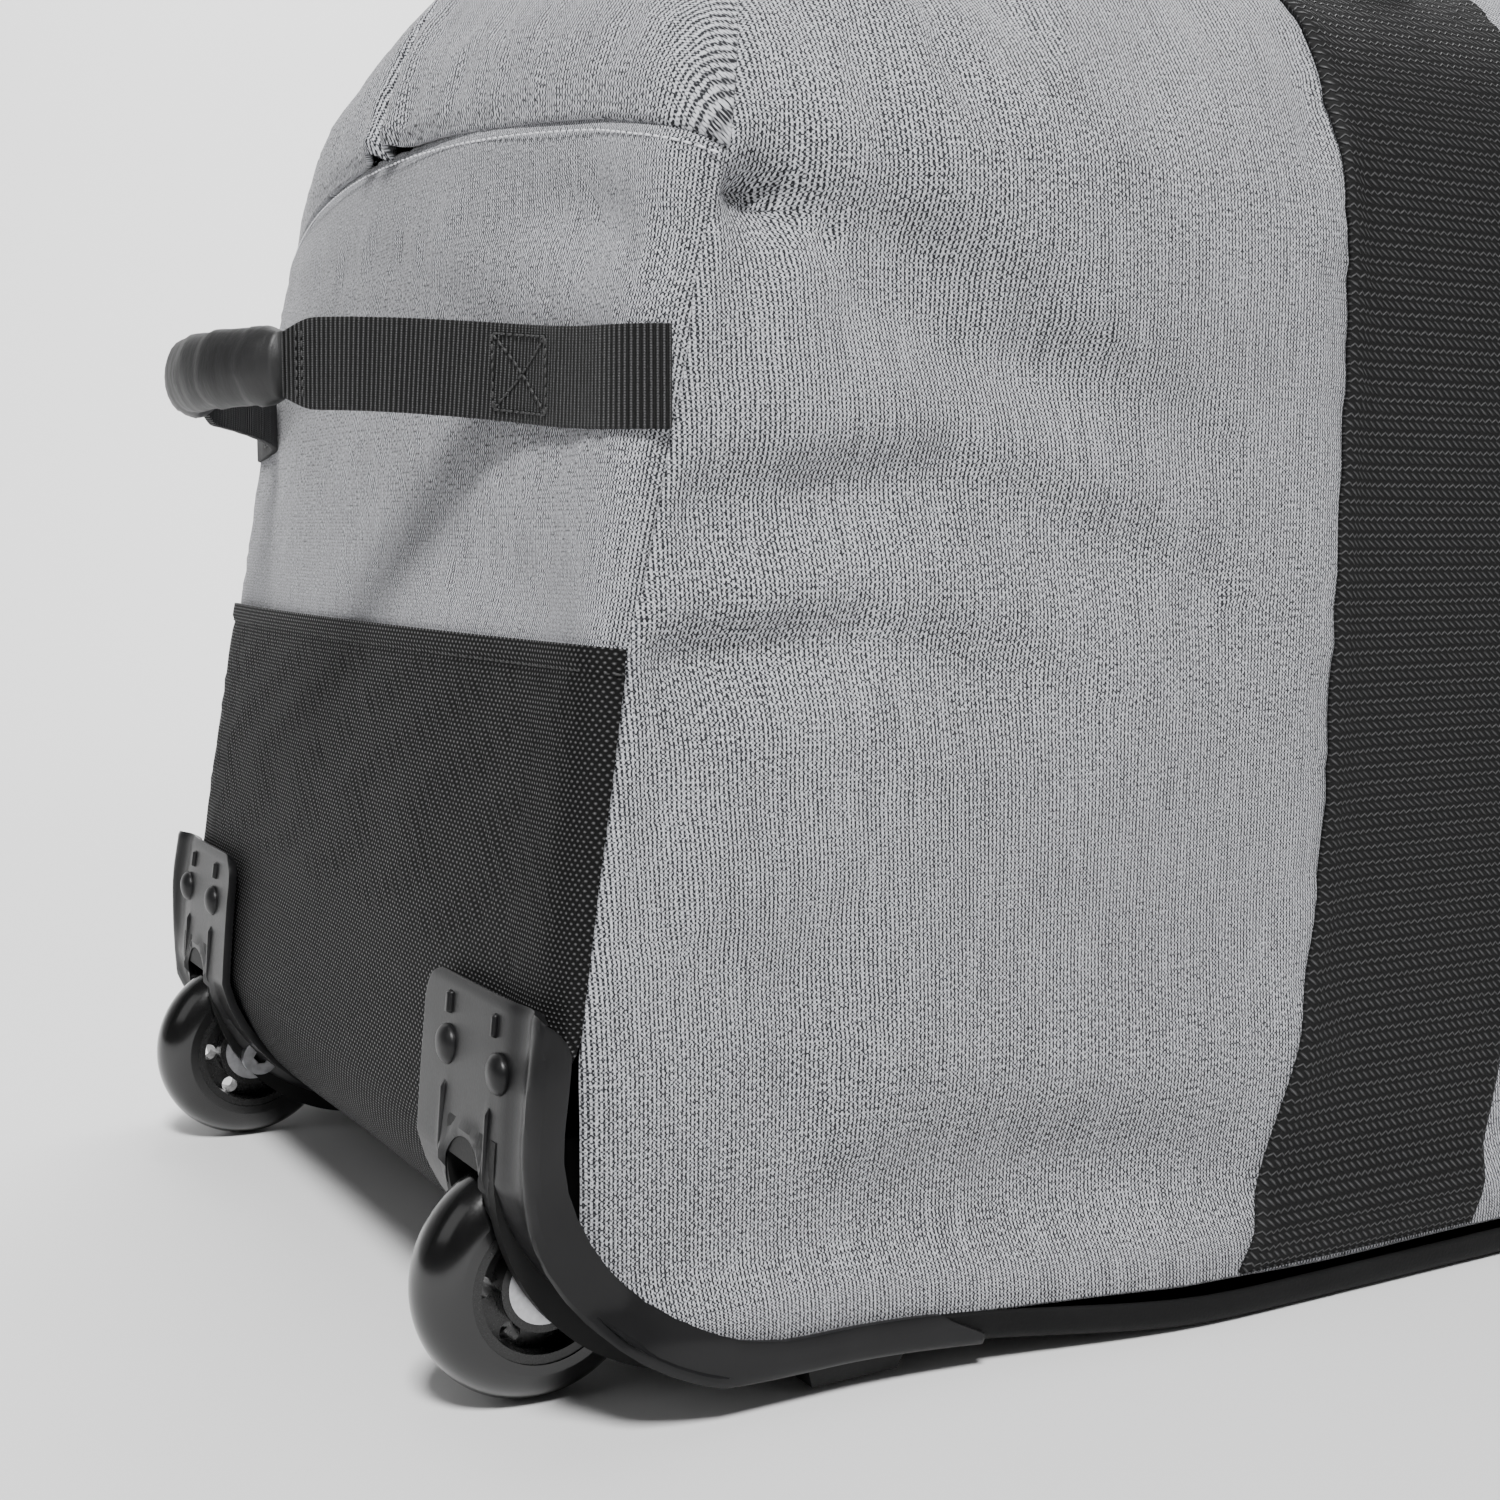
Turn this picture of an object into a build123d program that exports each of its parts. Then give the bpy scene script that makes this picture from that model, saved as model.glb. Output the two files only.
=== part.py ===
from build123d import *
import os
from math import cos, radians, sin, sqrt

# A large rolling duffel bag, lying on its base. +X runs from the wheels to the tow handle,
# -Y is the bag's front, +Z is up. The origin is on the floor, under the middle of the bag.
# Everything is in millimetres. Sub-parts are named front (-Y) or rear (+Y).

# ---- driving dimensions ----
end_face = 419.0  # end panels, from the middle of the bag, below the lean
body_half_width = 196.0
base_z = 10.0  # underside of the bag above the floor
top_z = 452.0  # flat run of the top, along the zip
panel = 4.0  # laminated fabric with its foam backing
plan_corner = 32.0  # rounding between the ends and the sides
wheel_corner = 78.0  # rounding between the wheel end and the base
tow_corner = 40.0  # rounding between the tow end and the base
lean_from = 116.0  # the end panels stand upright below this height
lean_top = 348.0  # and lean inward up to this one
lean = 28.0

wheel_radius = 35.0
wheel_width = 24.0
wheel_x = -404.0
wheel_y = 144.0
axle_radius = 4.0
bearing_radius = 11.0
bearing_width = 7.0

guard_thickness = 3.0
guard_top = 121.0
guard_end_x = -282.0
guard_inner_y = 106.0
flange_depth = 13.0

kick_top = 210.0
side_low_z = 16.0  # lower edge of the grey side panels
seam_setback = 14.0  # from the end faces to the corner seams
zip_half_gap = 3.0
far_out = 600.0  # larger than the bag, for cutting tools

band_width = 100.0
band_inner_x = 54.0
band_thickness = 2.0

tube_y = 85.0
tube_z = 34.0
tube_width = 24.0
tube_height = 15.0
tube_wall = 1.2
tube_play = 0.4
tow_travel = 420.0

parts = {}


def sides():
    """The two sides of the bag, as the sign of Y and the name used in the nodes."""
    return ((-1, "front"), (1, "rear"))


def slab(x, y, z):
    """A box given by its limits along each axis."""
    size = (x[1] - x[0], y[1] - y[0], z[1] - z[0])
    middle = ((x[0] + x[1]) / 2, (y[0] + y[1]) / 2, (z[0] + z[1]) / 2)
    return Pos(*middle) * Box(*size)


def rod_along_y(radius, x, z, y):
    """A cylinder along Y between two values of y."""
    return Pos(x, (y[0] + y[1]) / 2, z) * Rot(90, 0, 0) * Cylinder(radius, abs(y[1] - y[0]))


def rod_along_x(radius, x, y, z):
    """A cylinder along X between two values of x."""
    return Pos((x[0] + x[1]) / 2, y, z) * Rot(0, 90, 0) * Cylinder(radius, abs(x[1] - x[0]))


# ---- the bag's outer form: three outlines, each extruded and intersected ----
def side_outline():
    """The bag seen from its front, in X and Z."""
    shoulder_x, shoulder_z = end_face - 52.0, top_z - 40.0
    flat_x = 300.0
    wheel_centre = (-end_face + wheel_corner, base_z + wheel_corner)
    tow_centre = (end_face - tow_corner, base_z + tow_corner)
    bend = cos(radians(45))
    lines = [
        Line((wheel_centre[0], base_z), (tow_centre[0], base_z)),
        ThreePointArc(
            (tow_centre[0], base_z),
            (tow_centre[0] + tow_corner * bend, tow_centre[1] - tow_corner * bend),
            (end_face, tow_centre[1]),
        ),
        Line((end_face, tow_centre[1]), (end_face, lean_from)),
        Line((end_face, lean_from), (end_face - lean, lean_top)),
        ThreePointArc((end_face - lean, lean_top), (shoulder_x, shoulder_z), (flat_x, top_z)),
        Line((flat_x, top_z), (-flat_x, top_z)),
        ThreePointArc((-flat_x, top_z), (-shoulder_x, shoulder_z), (-end_face + lean, lean_top)),
        Line((-end_face + lean, lean_top), (-end_face, lean_from)),
        Line((-end_face, lean_from), (-end_face, wheel_centre[1])),
        ThreePointArc(
            (-end_face, wheel_centre[1]),
            (wheel_centre[0] - wheel_corner * bend, wheel_centre[1] - wheel_corner * bend),
            (wheel_centre[0], base_z),
        ),
    ]
    return Plane.XZ * make_face(lines)


def end_outline():
    """The bag seen from its end, in Y and Z: a flat base, bulging sides and a domed top."""
    half = [
        ((165, base_z), (184.5, 17.5), (191, 36)),
        ((191, 36), (body_half_width, 190), (189, 318)),
        ((189, 318), (177, 378), (140, 420)),
    ]
    lines = [Line((-165, base_z), (165, base_z))]
    lines += [ThreePointArc(*arc) for arc in half]
    lines.append(ThreePointArc((140, 420), (0, top_z), (-140, 420)))
    for start, middle, end in reversed(half):
        lines.append(ThreePointArc((-end[0], end[1]), (-middle[0], middle[1]), (-start[0], start[1])))
    return Plane.YZ * make_face(lines)


def plan_outline():
    """The bag seen from above, in X and Y."""
    return RectangleRounded(2 * end_face, 2 * body_half_width, plan_corner)


def body_shape(grow=0.0):
    """The bag's outer form, grown by a distance, or shrunk by a negative one."""
    solids = []
    for outline in (side_outline(), end_outline(), plan_outline()):
        face = offset(outline, amount=grow, kind=Kind.ARC) if grow else outline
        solids.append(extrude(face, amount=far_out, both=True))
    return solids[0] & solids[1] & solids[2]


def side_zone():
    """The part of the side view that the grey side panels cover, as a cutting tool along Y."""
    seam = end_face - seam_setback
    top = far_out
    leaned = seam - lean
    near_top = (seam - 43, 400), (seam - 70, top_z), (seam - 70, top)
    corner_start = -(end_face - wheel_corner - 16)
    lines = [
        Line((corner_start, side_low_z), (seam - 30, side_low_z)),
        ThreePointArc((seam - 30, side_low_z), (seam - 8, side_low_z + 8), (seam, side_low_z + 30)),
        Polyline((seam, side_low_z + 30), (seam, lean_from), (leaned, lean_top), *near_top),
        Line((seam - 70, top), (-(seam - 70), top)),
        Polyline(
            *[(-x, z) for x, z in reversed(near_top)], (-leaned, lean_top), (-seam, lean_from), (-seam, 90)
        ),
        ThreePointArc((-seam, 90), (-seam + 19, 38), (corner_start, side_low_z)),
    ]
    return extrude(Plane.XZ * make_face(lines), amount=far_out, both=True)


body = body_shape()
shell = body - body_shape(-panel)
side_tool = side_zone()
borders = shell - side_tool  # ends and base, outside the corner seams


# ---- wheels, axles and their housings ----
housing_outer = 43.0
housing_inner = 39.0
housing_reach = (18.0, 20.0)  # inboard and outboard of the wheel's middle
cavity_half = 14.5
cheek_lip = 6.4  # how far the cheeks stand out past the axle
blind_skin = 1.5


def cheek_outline(grow=0.0):
    """The cheek beside the wheel: it carries the axle just outside the bag's rounded corner."""
    slant = radians(220)
    lip = (wheel_x + cheek_lip * cos(slant), wheel_radius + cheek_lip * sin(slant))
    start = (-end_face - guard_thickness, 80)
    end = (wheel_x + 38, base_z - guard_thickness)
    lines = [
        ThreePointArc(start, lip, end),
        Polyline(end, (wheel_x + 38, 45), (wheel_x, 77), start),
    ]
    face = Plane.XZ * make_face(lines)
    return offset(face, amount=grow, kind=Kind.ARC) if grow else face


def extruded_between(face, y):
    """A face on the XZ plane, extruded between two values of y."""
    return Pos(0, y[1], 0) * extrude(face, amount=y[1] - y[0])


def wheel_span(sign):
    """The housing's limits along Y on that side, inboard and outboard."""
    inboard, outboard = wheel_y - housing_reach[0], wheel_y + housing_reach[1]
    return (inboard, outboard) if sign > 0 else (-outboard, -inboard)


def make_housing(sign, skin):
    """Wheel well: a half drum inside the corner, with two cheeks that hold the axle."""
    span = wheel_span(sign)
    drum = rod_along_y(housing_outer, wheel_x, wheel_radius, span) & skin
    cheeks = extruded_between(cheek_outline(), span)
    middle = sign * wheel_y
    cavity = rod_along_y(housing_inner, wheel_x, wheel_radius, (middle - cavity_half, middle + cavity_half))
    well = (drum + cheeks) - cavity
    mouth = slab(
        (wheel_x - 60, wheel_x + 34), (middle - cavity_half, middle + cavity_half), (-20, wheel_radius)
    )
    well -= mouth & rod_along_y(housing_outer + 5, wheel_x, wheel_radius, (middle - 20, middle + 20))
    ends = sorted((sign * (wheel_y - housing_reach[0] - 1), sign * (wheel_y + housing_reach[1] - blind_skin)))
    return well - rod_along_y(axle_radius + 0.03, wheel_x, wheel_radius, ends)


def make_axle(sign):
    """Axle bolt, put in from the inboard side, its tip in the outboard cheek's blind hole."""
    inboard = wheel_y - housing_reach[0]
    tip = wheel_y + housing_reach[1] - blind_skin - 0.5
    shaft = rod_along_y(axle_radius, wheel_x, wheel_radius, sorted((sign * inboard, sign * tip)))
    head = rod_along_y(7, wheel_x, wheel_radius, sorted((sign * (inboard - 3.5), sign * inboard)))
    socket = extrude(Plane.XZ * Pos(wheel_x, wheel_radius) * RegularPolygon(3, 6), amount=2)
    face = sign * (inboard - 3.5)
    return shaft + head - Pos(0, face + (2 if sign > 0 else 0), 0) * socket


def housing_clearance(sign):
    """Room cut in the panels and the guard for one housing and its axle bolt's head."""
    span = wheel_span(sign)
    grown = (span[0] - 0.1, span[1] + 0.1)
    hole = rod_along_y(housing_outer + 0.1, wheel_x, wheel_radius, grown)
    hole += extruded_between(cheek_outline(0.1), grown)
    head = sorted((sign * (wheel_y - housing_reach[0] - 4.5), sign * wheel_y))
    return hole + rod_along_y(7.5, wheel_x, wheel_radius, head)


def ring_along_y(outer, inner, y):
    """A ring around the wheel's axis."""
    return rod_along_y(outer, wheel_x, wheel_radius, y) - rod_along_y(
        inner, wheel_x, wheel_radius, (y[0] - 1, y[1] + 1)
    )


def make_tyre(sign):
    """Round-treaded tyre, moulded on the hub, like an in-line skate wheel."""
    middle = sign * wheel_y
    half = wheel_width / 2
    lines = [
        Line((22, -half), (25, -half)),
        ThreePointArc((25, -half), (wheel_radius, 0), (25, half)),
        Line((25, half), (22, half)),
        Line((22, half), (22, -half)),
    ]
    # local x is the radius and local y the wheel's width
    profile = Plane(origin=(0, 0, 0), x_dir=(1, 0, 0), z_dir=(0, 0, 1)) * make_face(lines)
    return Pos(wheel_x, middle, wheel_radius) * revolve(profile, Axis.Y)


def make_hub(sign):
    """Spoked hub: an outer rim, a boss with two bearing seats, and a web with round openings."""
    middle = sign * wheel_y
    half = wheel_width / 2
    rim = ring_along_y(22, 19.2, (middle - half + 0.5, middle + half - 0.5))
    boss = ring_along_y(13.2, bearing_radius, (middle - half + 1, middle + half - 1))
    boss += ring_along_y(13.2, 7, (middle - 4, middle + 4))
    web = ring_along_y(20, 12.5, (middle - 4, middle + 4))
    opening = rod_along_y(3.1, wheel_x + 16.2, wheel_radius, (middle - 10, middle + 10))
    axis = Axis((wheel_x, 0, wheel_radius), (0, 1, 0))
    for turn in range(6):
        web -= opening.rotate(axis, 60 * turn)
    return rim + boss + web


def make_bearings(sign):
    """Two sealed ball bearings, each one ring here, that turn on the axle bolt."""
    middle = sign * wheel_y
    outer_end = wheel_width / 2 - 1
    inner_end = outer_end - bearing_width
    pair = [
        ring_along_y(bearing_radius, axle_radius + 0.06, (middle + a, middle + b))
        for a, b in ((-outer_end, -inner_end), (inner_end, outer_end))
    ]
    return Compound(children=pair)


# ---- corner guards, their rivets and the feet ----
rivet_offset = 18.5
rivet_z = 101.0


def make_guard(sign, layer, housing_hole):
    """Moulded plate over the bottom corner at the wheel, with a flange along the side's edge."""
    y = sorted((sign * guard_inner_y, sign * (body_half_width + 10)))
    zone = slab((-end_face - 12, guard_end_x), y, (base_z - 8, guard_top))
    guard = layer & zone
    inner = offset(side_outline(), amount=-flange_depth, kind=Kind.ARC)
    guard -= extrude(inner, amount=far_out, both=True)
    face_x = -end_face - guard_thickness
    for step in (-1, 1):
        middle = sign * wheel_y + step * rivet_offset
        guard += slab((face_x - 1.2, face_x + 1), (middle - 2, middle + 2), (109.5, 115.5))
        guard += slab((face_x - 1.6, face_x + 1), (middle - 1.5, middle + 1.5), (78, 91))
        guard -= rod_along_x(2.02, (face_x - 3, face_x + 20), middle, rivet_z)
    return guard - housing_hole


def make_rivet(sign, step):
    """Domed rivet through the guard and the kick panel, with a washer inside the bag."""
    middle = sign * wheel_y + step * rivet_offset
    face_x = -end_face - guard_thickness
    base_up = (Align.CENTER, Align.CENTER, Align.MIN)
    head = Pos(face_x, middle, rivet_z) * Rot(0, -90, 0) * Cone(5.4, 3.2, 1.8, align=base_up)
    shaft = rod_along_x(2.0, (face_x, -end_face + panel + 1.5), middle, rivet_z)
    washer = rod_along_x(6.0, (-end_face + panel, -end_face + panel + 1.5), middle, rivet_z)
    return head + shaft + washer


def make_foot(x, y, low, size):
    """Moulded foot under the base, narrower towards the floor."""
    sole = Pos(x, y, low) * Rectangle(size[0] - 6, size[1] - 4)
    return loft([sole, Pos(x, y, base_z) * Rectangle(*size)])


# ---- tow handle ----
grip_x = (421.5, 450.0)
bezel_x = (397.0, 425.0)
grip_socket = 8.0
grip_half = 112.0
button_half = 22.0
button_travel = 4.0
tube_rest_end = -300.0
plug_length = 34.0
pin_x = tube_rest_end + 9
pin_radius = 2.0
slot_half = 2.3
bar_x = (grip_x[1] - 12.0, grip_x[1] - 9.0)  # crossbar behind the button
spring_seat_x = bar_x[0] - 9.5


def tube(x, width, height, wall, y):
    """Rectangular tube along X."""
    outer = slab(x, (y - width / 2, y + width / 2), (tube_z - height / 2, tube_z + height / 2))
    inner = slab(
        (x[0] - 1, x[1] + 1),
        (y - width / 2 + wall, y + width / 2 - wall),
        (tube_z - height / 2 + wall, tube_z + height / 2 - wall),
    )
    return outer - inner


inner_width = tube_width - 2 * tube_wall - 2 * tube_play
inner_height = tube_height - 2 * tube_wall - 2 * tube_play


def make_outer_tube(sign):
    """Fixed tube, with a keyway in its outboard wall for the lock pin."""
    y = sign * tube_y
    shape = tube((-336, bezel_x[0]), tube_width, tube_height, tube_wall, y)
    wall_y = y + sign * tube_width / 2
    keyway = slab(
        (pin_x - slot_half, pin_x + tow_travel + slot_half),
        (wall_y - 3, wall_y + 3),
        (tube_z - slot_half, tube_z + slot_half),
    )
    return shape - keyway


def make_inner_tube(sign):
    """Sliding tube, with a hole for the lock pin."""
    y = sign * tube_y
    shape = tube((tube_rest_end, grip_x[0] + grip_socket), inner_width, inner_height, tube_wall, y)
    return shape - rod_along_y(
        pin_radius + 0.1, pin_x, tube_z, sorted((y, y + sign * (inner_width / 2 + 2)))
    )


def make_plug(sign):
    """Guide block in the sliding tube's lower end; the lock pin runs in its cross hole."""
    y = sign * tube_y
    half_y = inner_width / 2 - tube_wall - 0.1
    half_z = inner_height / 2 - tube_wall - 0.1
    block = slab(
        (tube_rest_end, tube_rest_end + plug_length), (y - half_y, y + half_y), (tube_z - half_z, tube_z + half_z)
    )
    block -= rod_along_y(pin_radius + 0.1, pin_x, tube_z, (y - 20, y + 20))
    return block - rod_along_x(2.2, (pin_x + 6, tube_rest_end + plug_length + 1), y, tube_z)


def make_pin(sign):
    """Lock pin; the release rods draw it inward."""
    y = sign * tube_y
    tip = y + sign * (tube_width / 2 - 0.1)
    tail = y + sign * (-inner_width / 2 + tube_wall + button_travel + 1.0)
    return rod_along_y(pin_radius, pin_x, tube_z, sorted((tail, tip)))


def make_grip():
    """Moulded grip across the two tubes, open at the middle for the button."""
    grip = slab(grip_x, (-grip_half, grip_half), (tube_z - 13, tube_z + 13))
    grip = fillet(grip.edges().filter_by(Axis.Y), 9)
    grip = fillet(grip.edges().filter_by(Axis.Z), 4)
    back = bar_x[0] - button_travel - 0.5
    grip -= slab((back, grip_x[1] + 5), (-button_half - 0.4, button_half + 0.4), (tube_z - 6.4, tube_z + 6.4))
    grip -= slab((back, bar_x[1] + 0.3), (-tube_y - 6, tube_y + 6), (tube_z - 3.5, tube_z + 3.5))
    for sign, _ in sides():
        y = sign * tube_y
        grip -= slab(
            (grip_x[0] - 1, grip_x[0] + grip_socket),
            (y - inner_width / 2, y + inner_width / 2),
            (tube_z - inner_height / 2, tube_z + inner_height / 2),
        )
        grip -= rod_along_x(2.5, (grip_x[0], back + 1), y, tube_z)
    return grip - rod_along_x(3.6, (spring_seat_x, back + 1), 0, tube_z)


def make_button():
    """Release button's cap."""
    cap = slab((bar_x[1], grip_x[1] + 1.5), (-button_half, button_half), (tube_z - 6, tube_z + 6))
    return fillet(cap.faces().sort_by(Axis.X)[-1].edges(), 1.2)


def make_release_rods():
    """Crossbar behind the button, with one rod down each sliding tube."""
    bar = slab(bar_x, (-tube_y - 5, tube_y + 5), (tube_z - 2.5, tube_z + 2.5))
    for sign, _ in sides():
        bar += rod_along_x(1.8, (pin_x + 11, bar_x[0] + 1), sign * tube_y, tube_z)
    return bar


def make_button_spring():
    """Return spring behind the crossbar."""
    wire = 0.35
    coil = Helix(pitch=1.7, height=bar_x[0] - spring_seat_x - 2 * wire, radius=2.6)
    section = Plane(origin=coil @ 0, z_dir=coil % 0) * Circle(wire)
    spring = sweep(section, path=coil, is_frenet=True)
    return Pos(spring_seat_x + wire, 0, tube_z) * Rot(0, 90, 0) * spring


def bezel_block():
    """Outer form of the moulded tray, which is let into the end panel."""
    block = slab(bezel_x, (-140, 140), (tube_z - 18.5, tube_z + 22))
    return fillet(block.edges().filter_by(Axis.X), 10)


def make_bezel():
    """Moulded tray round the tubes' mouths, which the closed grip rests in."""
    well = slab(
        (grip_x[0] - 0.5, bezel_x[1] + 1), (-grip_half - 6, grip_half + 6), (tube_z - 15, tube_z + 16)
    )
    tray = bezel_block() - well
    for sign, _ in sides():
        y = sign * tube_y
        tray -= slab(
            (bezel_x[0] - 1, bezel_x[1] + 1),
            (y - inner_width / 2 - 0.5, y + inner_width / 2 + 0.5),
            (tube_z - inner_height / 2 - 0.5, tube_z + inner_height / 2 + 0.5),
        )
    return tray


# ---- webbing handles ----
end_strap_width = 27.0
end_strap_z = 280.0
end_strap_thick = 3.0
end_loop_x = 458.0
end_grip_half = 50.0
loop_foot_y = 78.0


def make_end_strap(end, layer):
    """Grab handle's webbing: a tail to each corner seam, and a loop that stands out."""
    low, high = end_strap_z - end_strap_width / 2, end_strap_z + end_strap_width / 2
    tails = layer & slab((0, far_out), (-far_out, far_out), (low, high))
    tails -= side_zone()
    tails -= slab((0, far_out), (-loop_foot_y - 8, loop_foot_y + 8), (0, far_out))
    foot_x = end_face - lean * (low - lean_from) / (lean_top - lean_from) + end_strap_thick / 2
    arc = loop_arc(foot_x, loop_foot_y)
    foot = Line((foot_x, -loop_foot_y - 12), (foot_x, -loop_foot_y))
    loop = offset_ribbon(arc, low, high)
    folded = slab((0, far_out), (-end_grip_half + 3, end_grip_half - 3), (low, high))
    loop -= folded - slab((0, far_out), (-far_out, far_out), (end_strap_z - 8, end_strap_z + 8))
    half = offset_ribbon(foot, low, high)
    strap = tails + loop + half + mirror(half, about=Plane.XZ)
    return strap if end > 0 else mirror(strap, about=Plane.YZ)


def loop_arc(foot_x, reach):
    """The grab loop's middle line in plan: a circle through its feet, cut at some reach."""
    tip = end_loop_x - 7.5
    centre = (tip**2 - foot_x**2 - loop_foot_y**2) / (2 * (tip - foot_x))
    x = centre + sqrt((tip - centre) ** 2 - reach**2)
    return ThreePointArc((x, -reach), (tip, 0), (x, reach))


def offset_ribbon(edge, low, high):
    """Webbing of even thickness along an edge in plan, standing between two heights."""
    section = Plane(origin=edge @ 0, z_dir=edge % 0, x_dir=(0, 0, 1)) * Rectangle(high - low, end_strap_thick)
    return Pos(0, 0, (low + high) / 2) * sweep(section, path=edge)


def make_end_grip(end, strap):
    """Sleeve round the folded middle of the grab handle."""
    foot_x = end_face - lean * (end_strap_z - 13.5 - lean_from) / (lean_top - lean_from) + 1.5
    arc = loop_arc(foot_x, end_grip_half)
    section = Plane(origin=arc @ 0, z_dir=arc % 0, x_dir=(0, 0, 1)) * RectangleRounded(24, 15, 6)
    sleeve = Pos(0, 0, end_strap_z) * sweep(section, path=arc)
    if end < 0:
        sleeve = mirror(sleeve, about=Plane.YZ)
    return sleeve - strap


carry_pivot_y = 118.0
carry_pivot_z = 439.0
carry_top_y = 16.0
carry_top_z = 515.0
carry_foot_x = 104.0


def make_carry_loop(sign):
    """Carry handle's webbing: an arch that leans in over the zip."""
    rise = sqrt((carry_pivot_y - carry_top_y) ** 2 + (carry_top_z - carry_pivot_z) ** 2)
    up = (0, -sign * (carry_pivot_y - carry_top_y), carry_top_z - carry_pivot_z)
    frame = Plane(
        origin=(0, sign * carry_pivot_y, carry_pivot_z), x_dir=(1, 0, 0), z_dir=Vector(1, 0, 0).cross(Vector(*up))
    )
    half = 12.0
    outer = [(-carry_foot_x - half, 0), (-97, rise * 0.66), (-64, rise + 6)]
    inner = [(-carry_foot_x + half, 0), (-76, rise * 0.52), (-48, rise - 7)]
    lines = [
        Line(inner[0], outer[0]),
        ThreePointArc(*outer),
        Polyline(outer[2], (0, rise + 6), (0, rise - 7), inner[2]),
        ThreePointArc(*inner),
    ]
    half_face = make_face(lines)
    face = half_face + mirror(half_face, about=Plane.YZ)
    return extrude(frame * face, amount=3, both=True)


def make_carry_grip(sign, loop):
    """Sleeve round the middle of a carry handle."""
    sleeve = rod_along_x(13, (-62, 62), sign * carry_top_y, carry_top_z)
    return sleeve - loop


def band_zone(end, sign):
    """Where a wide band lies: upright, then sweeping towards its end of the bag low down."""
    low, high = side_low_z + 2.5, far_out
    x = band_inner_x
    inner = [(x, 160), (x + 11, 96), (x + 40, low)]
    outer = [(a + band_width, z) for a, z in inner]
    lines = [
        Line((x, high), inner[0]),
        ThreePointArc(*inner),
        Line(inner[2], outer[2]),
        ThreePointArc(*reversed(outer)),
        Polyline(outer[0], (x + band_width, high), (x, high)),
    ]
    face = Plane.XZ * make_face(lines)
    if end < 0:
        face = mirror(face, about=Plane.YZ)
    y = sorted((sign * 14, sign * far_out))
    return extruded_between(face, y)


# ---- zip sliders ----
slider_x = 24.0
slider_top = top_z + 6.5


def make_slider(end):
    """Zip slider body, with the bridge that the pull hangs from."""
    x = end * slider_x
    body_block = slab((x - 7, x + 7), (-5, 5), (top_z + 0.6, top_z + 3.6))
    body_block = fillet(body_block.edges().filter_by(Axis.Z), 2.5)
    bridge = slab((x - 5, x + 5), (-1.2, 1.2), (top_z + 3.4, slider_top + 1.6))
    window = slab((x - 3.2, x + 3.2), (-3, 3), (top_z + 3.6, slider_top + 0.2))
    return body_block + (bridge - window)


def make_pull(end):
    """Pull tab: a ring through the bridge and a cord tab, lying away from the middle."""
    x, z = end * slider_x, top_z + 5.2
    ring = Pos(x + end * 4.2, 0, z) * (Cylinder(5.6, 1.4) - Cylinder(4.0, 3))
    tab = slab(sorted((x + end * 8.6, x + end * 30)), (-4, 4), (z - 1.3, z + 1.3))
    tab = fillet(tab.edges().filter_by(Axis.Z), 3.4)
    return ring + tab


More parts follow.
